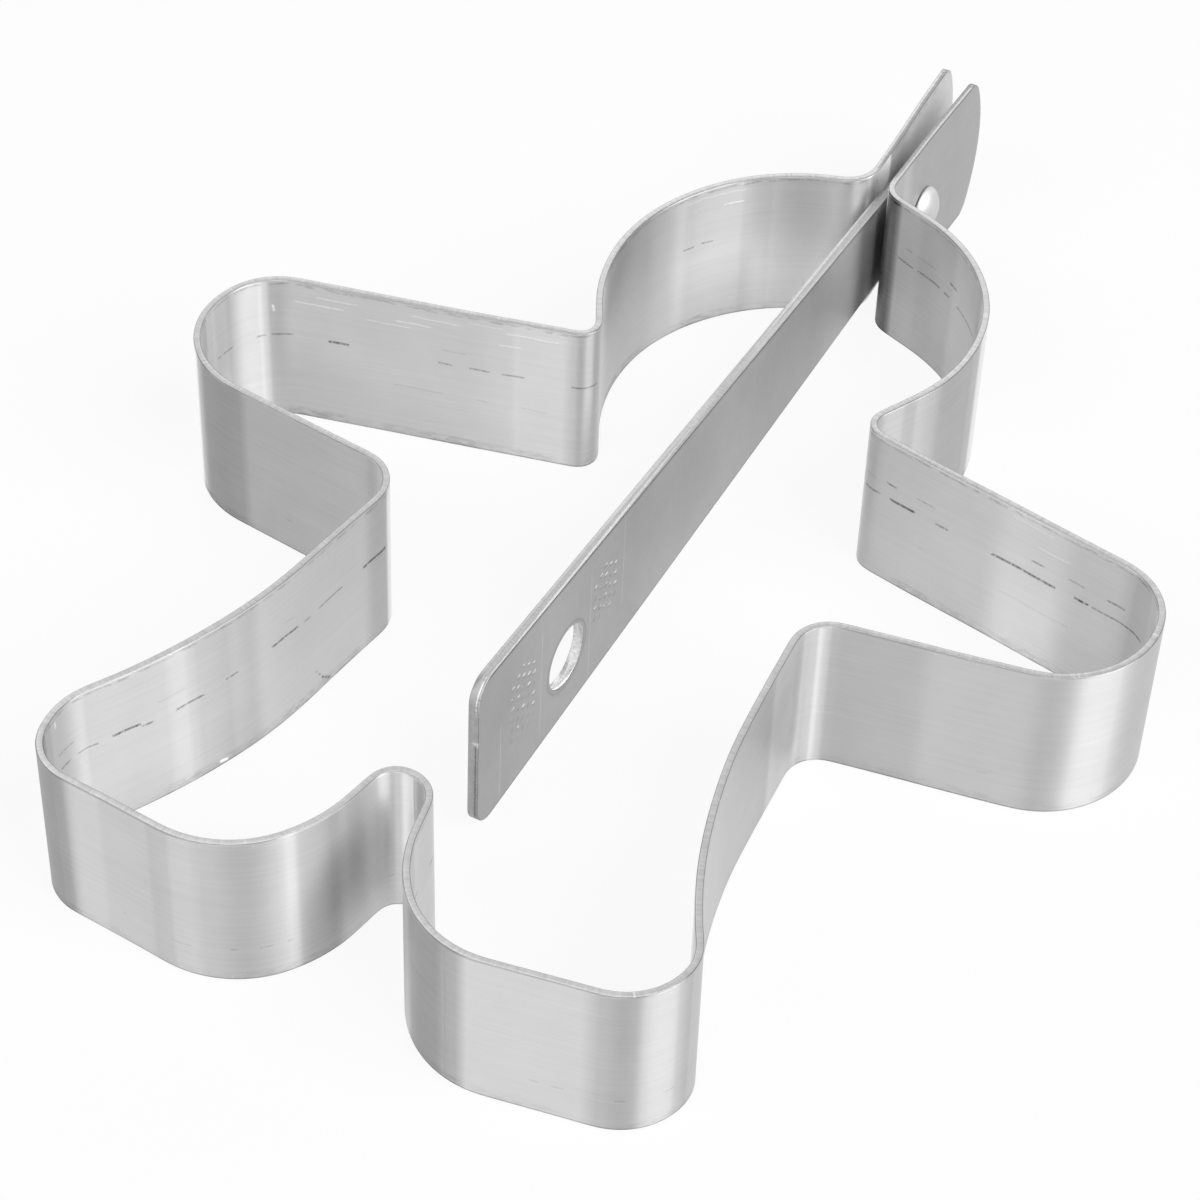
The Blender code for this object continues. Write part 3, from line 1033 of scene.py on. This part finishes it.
    def cut_share(self, lay: Points) -> Points:
        """Tell faces from cut edges by how far the edges' rounding has gone in."""
        depth = self.thickness / 2.0 - np.abs(lay[..., 2])
        at_end = np.minimum(np.arange(len(lay)), np.arange(len(lay))[::-1])[:, None] / 3.0
        return np.clip(np.maximum(depth / self.edge_radius, 1.0 - at_end), 0.0, 1.0)

    def paint_light_stretches(self, mesh: bpy.types.Mesh) -> None:
        """Store the stretches' summed tone, painted reflection and painted shade, at every point of the
        mesh's two faces.
        """
        lay = np.empty(3 * len(mesh.vertices), np.float32)
        mesh.attributes["lay"].data.foreach_get("vector", lay)
        along, up, across = lay.reshape(-1, 3).T
        tone = np.zeros_like(along)
        for stretch in self.stretches:
            tone += stretch.weigh(along, up / self.height) * ((across > 0.0) == stretch.outside)
        painted_light = mesh.attributes.new("painted_light", "FLOAT", "POINT")
        on_face = np.abs(across) > self.thickness / 2.0 - self.edge_radius / 3.0
        painted_light.data.foreach_set("value", tone * on_face)

    def build(self) -> bpy.types.Object:
        """Build the strip: its long surface and the two ends' faces.

        An end's face joins each outer point to the inner one across from it.
        """
        grid, lay = self.surface()
        shell = Shell()
        shell.add_grid(grid, lay, self.cut_share(lay), wrap=True)
        half = grid.shape[1] // 2
        outer = np.arange(-1, half)
        inner = np.concatenate([[-1], np.arange(2 * half - 2, half - 2, -1)])
        for row in (0, -1):
            ends = np.stack([grid[row, outer], grid[row, inner]])
            lays = np.stack([lay[row, outer], lay[row, inner]])
            shell.add_grid(ends, lays, 1.0, wrap=False)
        piece = shell.build("strip_surface")
        piece.data.use_auto_texspace = False
        piece.data.texspace_location = LINES_AXIS
        piece.data.texspace_size = LINES_SIZE
        self.paint_light_stretches(piece.data)
        return piece


@dataclass(frozen=True)
class LiftHandle:
    """The tapered flat bar that turns on the rivet, cut with two holes.

    Attributes:
        pivot: The hinge's place in the frame.
        length: From the pivot to the free end.
        thickness: The bar's thickness.
        pivot_width: Its width at the pivot, whose end is a half round.
        free_width: Its width at the free end.
        rise: How far its middle line lies above the pivot.
        lift: How far the bar is raised at rest, in degrees.
        top_corner: Radius of the free end's upper corner.
        low_corner: Radius of the free end's lower corner.
        hang_radius: Radius of the hang hole.
        hang_inset: From the free end to the hang hole.
        hang_drop: How far the hang hole lies below the middle line.
        pivot_radius: Radius of the hole that the rivet passes through.
        edge_radius: How far the sheared edges are worn round.
        parting: Where its faces are parted between the holes, as a share of its length.
        sheet_margin: Width of the narrow quads along a face's border and its hole.
    """

    pivot: Vector
    length: float = 108.45 * MM
    thickness: float = 1.2 * MM
    pivot_width: float = 11.9 * MM
    free_width: float = 20.7 * MM
    rise: float = 0.5 * MM
    lift: float = 0.86
    top_corner: float = 2.6 * MM
    low_corner: float = 2.8 * MM
    hang_radius: float = 3.75 * MM
    hang_inset: float = 19.2 * MM
    hang_drop: float = 1.35 * MM
    pivot_radius: float = 2.1 * MM
    edge_radius: float = 0.1 * MM
    parting: float = 0.42
    sheet_margin: float = 0.12 * MM

    def slope(self) -> float:
        """Give how much the bar's half width grows for each metre of length."""
        return (self.free_width - self.pivot_width) / 2.0 / self.length

    def hang_centre(self) -> tuple[float, float]:
        """Give the hang hole's place along and up the bar."""
        return self.length - self.hang_inset, self.rise - self.hang_drop

    def outline(self) -> Points:
        """Draw the bar's closed outline about the pivot, from the pivot end's top.

        The free end points towards the first axis's negative side.
        """
        free = self.free_width / 2.0
        root = self.pivot_width / 2.0
        taper = math.asin((free - root) / self.length)
        near = root * math.sin(taper)
        far = root * math.cos(taper)
        corners = [
            Corner(near, self.rise + far),
            Corner(-self.length, self.rise + free, self.top_corner),
            Corner(-self.length, self.rise - free, self.low_corner),
            Corner(near, self.rise - far),
        ]
        line = rounded_line(corners, 0.6 * MM, math.radians(6.0))
        angle = np.linspace(taper - math.pi / 2.0, math.pi / 2.0 - taper, 40)[1:-1]
        cap = join(root * np.cos(angle), self.rise + root * np.sin(angle))
        return np.concatenate([line, cap])

    def rounding(self) -> tuple[Points, Points, Points]:
        """Give a sheared edge's inset, place across the bar and share of cut, face to face."""
        lead, bead = quarter_round(self.edge_radius)
        inset = np.concatenate([lead, lead[::-1]])[:, None]
        across = np.concatenate([self.thickness / 2.0 - bead, bead[::-1] - self.thickness / 2.0])
        return inset, across[:, None], 1.0 - inset / self.edge_radius

    def parted(self) -> tuple[Points, int, int]:
        """Put a point into the outline on each edge, where the faces are parted.

        Returns:
            The outline, and the numbers of the two points in it.
        """
        ring = self.outline()
        parting = -self.length * self.parting
        beyond = np.flatnonzero(ring[:, 0] < parting)
        first, last = beyond[0], beyond[-1]
        added = []
        for low, high in ((first - 1, first), (last, last + 1)):
            share = (parting - ring[low, 0]) / (ring[high, 0] - ring[low, 0])
            added.append(ring[low] + (ring[high] - ring[low]) * share)
        parts = [ring[:first], added[:1], ring[first : last + 1], added[1:], ring[last + 1 :]]
        return np.concatenate(parts), first, last + 2

    def surface(self) -> Shell:
        """Work out the bar about its pivot as an outer wall and two halves.

        Each face is cut in two at a line between its holes.
        """
        ring, top, low = self.parted()
        tangent = np.roll(ring, -1, axis=0) - np.roll(ring, 1, axis=0)
        tangent /= np.linalg.norm(tangent, axis=1)[:, None]
        outward = join(-tangent[:, 1], tangent[:, 0])
        outward *= np.sign((outward[0] * (ring[0] - ring.mean(axis=0))).sum())
        inset, across, cut = self.rounding()
        shell = Shell()
        self.add(shell, ring - outward * inset[..., None], across, cut)
        flat = ring - outward * self.edge_radius
        seam = flat[low] + (flat[top] - flat[low]) * np.linspace(0.0, 1.0, 24)[1:-1, None]
        place, height = self.hang_centre()
        free_border = np.concatenate([flat[top : low + 1], seam])
        self.add_half(shell, free_border, (-place, height), self.hang_radius)
        root_border = np.concatenate([flat[low:], flat[: top + 1], seam[::-1]])
        self.add_half(shell, root_border, (0.0, 0.0), self.pivot_radius)
        return shell

    def add_half(
        self, shell: Shell, border: Points, centre: tuple[float, float], radius: float
    ) -> None:
        """Add one half's two sheets and the wall of its hole.

        A sheet point is centre + unit * rho, where unit points from the hole's
        centre to a point of the half's border and rho runs out to it.

        Args:
            shell: The shell that takes them.
            border: The half's border, once round.
            centre: The hole's centre.
            radius: Its radius.
        """
        spoke = border - centre
        reach = np.linalg.norm(spoke, axis=1)
        unit = spoke / reach[:, None]
        start, margin = radius + self.edge_radius, self.sheet_margin
        rho = join(start, start + margin, (start + reach) / 2.0, reach - margin, reach).T
        sheet = centre + unit * rho[..., None]
        for face in (0.5, -0.5):
            self.add(shell, sheet, face * self.thickness, 0.0)
        inset, across, cut = self.rounding()
        self.add(shell, centre + unit * (radius + inset)[..., None], across, cut)

    def add(self, shell: Shell, flat: Points, across: Points | float, cut: Points | float) -> None:
        """Put a patch given about the pivot into its resting place.

        Args:
            shell: The shell that takes the patch.
            flat: Points along and up the bar, rows by columns by two.
            across: Their places across the bar.
            cut: How far they are on a cut edge.
        """
        lift = math.radians(self.lift)
        along, up = flat[..., 0], flat[..., 1]
        grid = join(
            across + self.pivot.x,
            along * math.cos(lift) + up * math.sin(lift) + self.pivot.y,
            up * math.cos(lift) - along * math.sin(lift) + self.pivot.z,
        )
        shell.add_grid(grid, join(-along, up, across), cut, wrap=True)

    def build(self) -> bpy.types.Object:
        """Build the bar in its resting place."""
        return self.surface().build("handle_surface")


@dataclass(frozen=True)
class PivotRivet:
    """The rivet through both tabs, a domed head outside each.

    Attributes:
        pivot: The rivet's middle.
        seats: X of the two tabs' outer faces at the rivet, left and right.
        shank_radius: Radius of the shank.
        head_radius: Radius of the heads.
        head_height: How far a head stands off its tab.
        rim_height: Height of a head's upright rim.
        foot: How far a head's underside is worn in, and how high.
        dome_power: How steeply the dome rises from its rim.
    """

    pivot: Vector
    seats: tuple[float, float]
    shank_radius: float = 1.8 * MM
    head_radius: float = 2.9 * MM
    head_height: float = 1.9 * MM
    rim_height: float = 0.2 * MM
    foot: tuple[float, float] = (0.12 * MM, 0.1 * MM)
    dome_power: float = 1.25

    def head(self) -> Points:
        """Draw a head's profile from its seat to its crown as (out, radius).

        The dome over the rim rises as sin(a) to dome_power while its radius
        falls as cos(a).
        """
        angle = np.linspace(0.0, np.pi / 2.0, 24)
        dome = self.head_height - self.rim_height
        out = self.rim_height + dome * np.sin(angle) ** self.dome_power
        radius = self.head_radius * np.cos(angle)
        radius[-1] = 0.0
        inset, height = self.foot
        foot = np.array([[0.0, self.head_radius - inset], [height, self.head_radius]])
        return np.concatenate([foot, join(out, radius)])

    def build(self) -> bpy.types.Object:
        """Turn the profile about the rivet's axis."""
        head = self.head()
        left = head[::-1] * (-1.0, 1.0) + (self.seats[0], 0.0)
        right = head + (self.seats[1], 0.0)
        shank = np.array([[seat, self.shank_radius] for seat in self.seats])
        profile = np.concatenate([left, shank, right])
        angle = np.linspace(0.0, 2.0 * np.pi, 96, endpoint=False)
        out, radius = profile.T[..., None]
        up = self.pivot.z + radius * np.sin(angle)
        shell = Shell()
        grid = join(out, self.pivot.y + radius * np.cos(angle), up)
        shell.add_grid(grid, join(out, radius, angle), 0.0, wrap=True)
        return shell.build("rivet_surface")


# The studio


@dataclass(frozen=True)
class Lamp:
    """A soft rectangular lamp that faces the ring.

    Attributes:
        name: What the lamp is for.
        azimuth: Its direction round the ring, from +X towards +Y.
        elevation: Its height above the floor, as an angle.
        distance: From the ring's middle.
        width: Its width.
        height: Its height.
        power: Its power in watts.
    """

    name: str
    azimuth: float
    elevation: float
    distance: float
    width: float
    height: float
    power: float

    def hang(self) -> bpy.types.Object:
        """Put the lamp up."""
        light = bpy.data.lights.new(self.name, "AREA")
        light.shape = "RECTANGLE"
        light.size = self.width
        light.size_y = self.height
        light.energy = self.power
        lamp = stand(self.name, light)
        azimuth, elevation = math.radians(self.azimuth), math.radians(self.elevation)
        away = Vector(
            (
                math.cos(elevation) * math.cos(azimuth),
                math.cos(elevation) * math.sin(azimuth),
                math.sin(elevation),
            )
        )
        lamp.location = away * self.distance
        lamp.rotation_mode = "QUATERNION"
        lamp.rotation_quaternion = away.to_track_quat("Z", "Y")
        return lamp


@dataclass(frozen=True)
class Viewpoint:
    """The photograph's camera, solved from the ring's outline.

    Attributes:
        place: Where the camera stands.
        yaw: Its turn from +Y towards +X, in radians.
        pitch: Its dip below the horizon, in radians.
        roll: Its roll, in radians.
        focal: Focal length as a share of the picture's width.
        sensor: Width of its sensor, in millimetres.
    """

    place: tuple[float, float, float] = (0.1193, -0.2631, 0.2751)
    yaw: float = -0.4560
    pitch: float = 0.7719
    roll: float = 0.0383
    focal: float = 2.95528
    sensor: float = 36.0

    def set_up(self) -> bpy.types.Object:
        """Stand the camera in its place and make it the scene's."""
        data = bpy.data.cameras.new("photo_camera")
        data.sensor_width = self.sensor
        data.lens = self.focal * self.sensor
        data.clip_start = 0.01
        data.clip_end = 20.0
        forward = Vector(
            (
                math.cos(self.pitch) * math.sin(self.yaw),
                math.cos(self.pitch) * math.cos(self.yaw),
                -math.sin(self.pitch),
            )
        )
        level = Vector((math.cos(self.yaw), -math.sin(self.yaw), 0.0))
        upright = level.cross(forward)
        right = math.cos(self.roll) * level + math.sin(self.roll) * upright
        up = math.cos(self.roll) * upright - math.sin(self.roll) * level
        axes = Matrix((right, up, -forward)).transposed()
        camera = stand("photo_camera", data)
        camera.matrix_world = Matrix.Translation(self.place) @ axes.to_4x4()
        bpy.context.scene.camera = camera
        return camera


@dataclass(frozen=True)
class Studio:
    """A plain pale floor, a pale surround and soft lamps.

    Attributes:
        floor_half: Half of the floor's width.
        floor_drop: How far it lies under the ring.
        floor_grey: The grey that it reflects.
        shown_share: How much of its shown colour is plain white.
        surround: Strength of the surround's light, where 1 is what it shows.
        lamps: The lamps.
    """

    floor_half: float = 3.0
    floor_drop: float = 0.05 * MM
    floor_grey: float = 0.8
    shown_share: float = 0.9
    surround: float = 0.2
    lamps: tuple[Lamp, ...] = ()

    @staticmethod
    def shown(graph: Graph) -> Wire:
        """Give 1 on rays that show the background: camera, glossy or through."""
        path = graph.node("ShaderNodeLightPath")
        seen = path["Is Camera Ray"].math("MAXIMUM", path["Is Glossy Ray"])
        return seen.math("MAXIMUM", path["Is Transmission Ray"])

    def lay_floor(self) -> bpy.types.Object:
        """Lay the floor just under the ring."""
        half = self.floor_half
        mesh = bpy.data.meshes.new("floor")
        corners = [(-half, -half), (half, -half), (half, half), (-half, half)]
        mesh.from_pydata([(x, y, -self.floor_drop) for x, y in corners], [], [(0, 1, 2, 3)])
        floor = stand("floor", mesh)
        material = bpy.data.materials.new("pale_floor")
        graph = empty_graph(material)
        plain = graph.node("ShaderNodeBsdfDiffuse", None, {"Color": grey(self.floor_grey)})["BSDF"]
        white = graph.node("ShaderNodeEmission", None, {"Color": grey(1.0), "Strength": 1.0})
        share = self.shown(graph) * self.shown_share
        values = {0: share, 1: plain, 2: white["Emission"]}
        surface = graph.node("ShaderNodeMixShader", None, values)["Shader"]
        graph.node("ShaderNodeOutputMaterial", None, {"Surface": surface})
        mesh.materials.append(material)
        return floor

    def light_surround(self) -> None:
        """Give the world its pale light, white where it shows."""
        world = bpy.data.worlds.new("surround")
        graph = empty_graph(world)
        strength = self.shown(graph) * (1.0 - self.surround) + self.surround
        glow = graph.node("ShaderNodeBackground", None, {"Color": grey(1.0), "Strength": strength})
        graph.node("ShaderNodeOutputWorld", None, {"Surface": glow["Background"]})
        bpy.context.scene.world = world

    def set_up(self) -> None:
        """Lay the floor, light the surround and hang the lamps."""
        self.lay_floor()
        self.light_surround()
        for lamp in self.lamps:
            lamp.hang()


# What is built


def dress(
    piece: bpy.types.Object, material: bpy.types.Material, node: str, body: str
) -> None:
    """Give a piece its finish, and let it stand for a node of the frame.

    Args:
        piece: The finished piece.
        material: Its finish.
        node: The node that it stands for.
        body: The body that it moves with.
    """
    piece.data.materials.append(material)
    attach(piece, body)
    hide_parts(node)
    LOG.info("%s: %d faces on %s", piece.name, len(piece.data.polygons), body)


def spans(*ends: float) -> Pairs:
    """Pair up starts and ends given in millimetres."""
    return tuple((start * MM, end * MM) for start, end in zip(ends[::2], ends[1::2]))


def mark(height: float, half_width: float, tone: float, *ends: float, outside: bool = False) -> Mark:
    """Describe a row of marks, with all lengths in millimetres."""
    return Mark(height * MM, half_width * MM, tone, spans(*ends), outside)


def stretches(outside: bool, *rows: tuple[float, ...]) -> tuple[PaintedLightStretch, ...]:
    """List one face's stretches of painted reflection and painted shade.

    Args:
        outside: Whether they are on the outer face.
        rows: Start, end, tone, soft and, where it isn't 0, upper, in millimetres.

    Returns:
        The stretches in the same order.
    """
    return tuple(
        PaintedLightStretch(start * MM, end * MM, tone, soft * MM, outside, *upper)
        for start, end, tone, soft, *upper in rows
    )


# Places along the strip run in millimetres from the right tab's crown.

MARKS = (
    mark(12.1, 0.17, -0.8, 81.9, 85.2, 95.3, 103.5, 105.9, 107.7, 411.3, 413.6),
    mark(12.2, 0.17, -0.76, 316.1, 319.3, 336.3, 340.3, 351.4, 355.4),
    mark(11.75, 0.14, -0.66, 319.5, 320.7, 323.5, 327.0),
    mark(12.1, 0.13, -0.52, 78.3, 80.5, 87.9, 89.5, 108.1, 115.5, 309.2, 310.9),
    mark(12.1, 0.13, -0.5, 311.9, 314.5, 329.9, 331.5, 341.3, 342.3, 343.8, 347.9),
    mark(
        12.1, 0.13, -0.5,
        396.2, 397.0, 397.4, 399.1, 402.5, 403.7, 404.4, 406.9, 427.9, 430.5, 431.9, 434.5,
    ),
    mark(12.1, 0.13, -0.46, 439.9, 442.9, 470.4, 472.1, 472.9, 474.5, 30.7, 33.3),
    mark(12.1, 0.13, -0.44, 34.0, 38.1, 38.9, 40.1, 41.9, 47.4, 424.3, 425.9),
    mark(14.15, 0.14, -0.5, 39.9, 41.5, 81.3, 82.5, 100.3, 101.9, 109.9, 112.1),
    mark(14.2, 0.11, -0.3, 31.9, 32.9, 85.3, 87.5, 104.9, 106.9, 308.9, 311.5),
    mark(14.1, 0.1, -0.16, 33.9, 36.9, 78.3, 79.9, 321.5, 324.9, 338.3, 339.7, 424.9, 427.7),
    mark(7.5, 0.1, -0.14, 86.2, 86.8, 96.9, 105.9, 418.9, 424.9, 428.9, 430.2, 434.1, 437.1),
    mark(17.1, 0.1, 0.3, 407.1, 413.1, 419.4, 423.5, 475.9, 478.5),
    mark(18.2, 0.08, 0.26, 409.9, 414.9, 421.3, 426.9, 432.3, 438.3),
    mark(18.8, 0.07, 0.18, 427.9, 431.9, 97.3, 102.4, 470.9, 478.9),
    mark(16.4, 0.09, 0.2, 415.9, 421.1, 431.3, 434.1, 100.9, 104.9),
    mark(4.5, 0.12, -0.16, 211.9, 213.3, 216.9, 217.9, 222.9, 224.1, 225.5, 226.5, outside=True),
    mark(4.6, 0.11, -0.18, 261.7, 262.3, 274.9, 275.5, 276.9, 278.1, 280.2, 281.1, outside=True),
    mark(4.3, 0.1, -0.14, 284.9, 287.1, 292.7, 293.3, 372.9, 373.9, 141.4, 142.5, outside=True),
)

SCRATCHES = (
    Scratch((343.0 * MM, 3.2 * MM), (344.0 * MM, 1.6 * MM), 0.1 * MM, -0.45),
    Scratch((344.0 * MM, 1.6 * MM), (345.1 * MM, 0.7 * MM), 0.13 * MM, -0.5),
    Scratch((328.5 * MM, 0.7 * MM), (329.3 * MM, 0.5 * MM), 0.16 * MM, 0.6),
    Scratch((404.6 * MM, 16.3 * MM), (404.75 * MM, 15.6 * MM), 0.12 * MM, 0.6),
    Scratch((308.9 * MM, 19.0 * MM), (308.9 * MM, 18.4 * MM), 0.12 * MM, 0.5),
)

HIDDEN = spans(53.5, 76.5, 116.5, 306.5, 356.5, 394.5, 499.5, 517.5)

# Painted reflection and painted shade: stretches of the outer face, then the inner face, made lighter
# or darker.
PAINTED_LIGHT_STRETCHES = stretches(
    True,
    (-3.0, 20.0, -0.19, 3.0),
    (24.0, 27.5, -0.08, 1.0),
    (54.0, 57.4, 0.42, 1.0),
    (58.8, 60.8, -0.1, 0.8),
    (61.5, 66.5, -0.14, 1.5),
    (71.1, 72.1, -0.15, 0.5),
    (129.0, 132.5, 0.08, 1.0),
    (134.5, 158.0, -0.09, 1.5),
    (150.0, 158.5, -0.09, 2.0),
    (159.6, 160.6, 0.2, 0.5),
    (161.0, 162.2, -0.16, 0.5),
    (163.3, 169.5, 0.27, 1.5),
    (170.5, 194.5, 0.08, 3.0),
    (210.5, 212.0, -0.12, 0.5),
    (216.3, 219.8, -0.15, 0.8),
    (221.5, 232.8, 0.07, 0.8),
    (234.1, 240.5, -0.26, 1.2),
    (236.5, 239.1, -0.09, 1.5),
    (242.1, 243.7, 0.16, 0.8),
    (258.8, 260.0, 0.35, 0.8),
    (261.5, 268.5, 0.25, 1.0),
    (270.1, 273.5, -0.13, 0.8),
    (274.3, 275.3, 0.1, 0.4),
    (276.1, 283.5, -0.08, 1.0),
    (286.9, 288.9, -0.08, 0.5),
    (295.5, 297.9, 0.08, 1.0),
    (299.8, 306.5, -0.33, 1.2),
    (361.5, 385.5, -0.2, 2.4),
    (380.0, 385.5, -0.18, 1.5),
    (388.2, 391.5, 0.52, 0.8),
    (445.0, 448.0, 0.34, 1.0),
) + stretches(
    False,
    (28.1, 30.2, -0.35, 0.6),
    (29.5, 49.5, -0.13, 1.5),
    (28.1, 29.8, -0.2, 0.6),
    (30.5, 33.5, 0.06, 0.8),
    (41.5, 47.5, 0.12, 1.5),
    (77.1, 78.1, 0.2, 0.4),
    (98.0, 102.5, 0.26, 4.0, -0.5),
    (113.3, 115.9, -0.12, 0.8),
    (199.5, 203.5, 0.16, 1.0),
    (249.5, 256.5, 0.25, 1.5),
    (304.0, 306.0, -0.27, 0.5),
    (308.3, 312.7, 0.14, 0.6),
    (323.1, 324.7, 0.09, 0.4),
    (326.5, 330.1, -0.1, 1.0),
    (335.5, 351.1, 0.24, 2.5),
    (356.1, 359.5, 0.55, 0.6),
    (394.3, 395.6, 0.3, 0.5),
    (399.0, 402.6, 0.1, 1.0),
    (396.0, 398.0, 0.35, 0.6),
    (403.0, 403.8, 0.25, 0.4),
    (404.5, 432.5, 0.1, 1.5),
    (433.5, 439.1, 0.16, 0.8),
    (444.0, 469.5, 0.25, 2.0),
    (454.5, 463.5, -0.12, 3.5),
    (453.5, 467.5, -0.14, 3.5, 1.0),
    (471.0, 480.0, 0.14, 3.0, -1.0),
    (481.5, 488.3, 0.24, 3.0),
    (481.0, 488.0, -0.28, 2.5, 1.0),
    (493.6, 498.0, 1.0, 0.8),
    (199.6, 202.6, 0.13, 0.8),
    (478.6, 481.6, -0.09, 0.6),
    (505.5, 523.0, 0.2, 4.0),
)

SCRIBES = (
    (103.65 * MM, -8.0 * MM, 1.0 * MM),
    (94.95 * MM, -7.0 * MM, 6.5 * MM),
    (83.95 * MM, -7.5 * MM, 6.0 * MM),
    (76.45 * MM, -3.0 * MM, 7.5 * MM),
)

PANELS = (
    Panel(96.0 * MM, -3.9 * MM, peak=98.9 * MM, top=6.4 * MM),
    Panel(77.75 * MM, -3.1 * MM, peak=80.6 * MM, bottom=-0.6 * MM),
)

LAMPS = (
    Lamp("key_softbox", -10.0, 45.0, 1.5, 1.1, 0.95, 19.0),
    Lamp("front_softbox", 257.0, 42.0, 1.5, 1.3, 0.8, 9.0),
    Lamp("back_softbox", 124.0, 32.0, 1.5, 1.7, 0.8, 6.2),
)


def main() -> None:
    """Build the camera, the three pieces and the studio."""
    bpy.context.scene.view_settings.view_transform = "Standard"
    Viewpoint().set_up()
    pivot = Vector(frame["joints"][0]["pos_m"])
    low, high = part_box("ring_strip")
    strip = RingStrip(height=high.z - low.z, stretches=PAINTED_LIGHT_STRETCHES)
    rolled = StripFinish(
        0.57, 0.43, 0.95, 0.14, strip.height, strip.length(), MARKS, HIDDEN, SCRATCHES
    ).make("ring_satin_steel")
    dress(strip.build(), rolled, "ring_strip", "ring")
    handle = LiftHandle(pivot)
    sheared = HandleFinish(0.54, 0.43, 0.95, 0.1, handle, PANELS, SCRIBES).make("handle_satin_steel")
    dress(handle.build(), sheared, "lift_handle", "handle")
    rivet = PivotRivet(pivot, (strip.seat(Side.LEFT), strip.seat(Side.RIGHT)))
    bright = RivetFinish(0.61, 0.5, 0.0, 0.05).make("rivet_bright_steel")
    dress(rivet.build(), bright, "pivot_rivet", "ring")
    Studio(lamps=LAMPS).set_up()


if __name__ == "__main__":
    main()
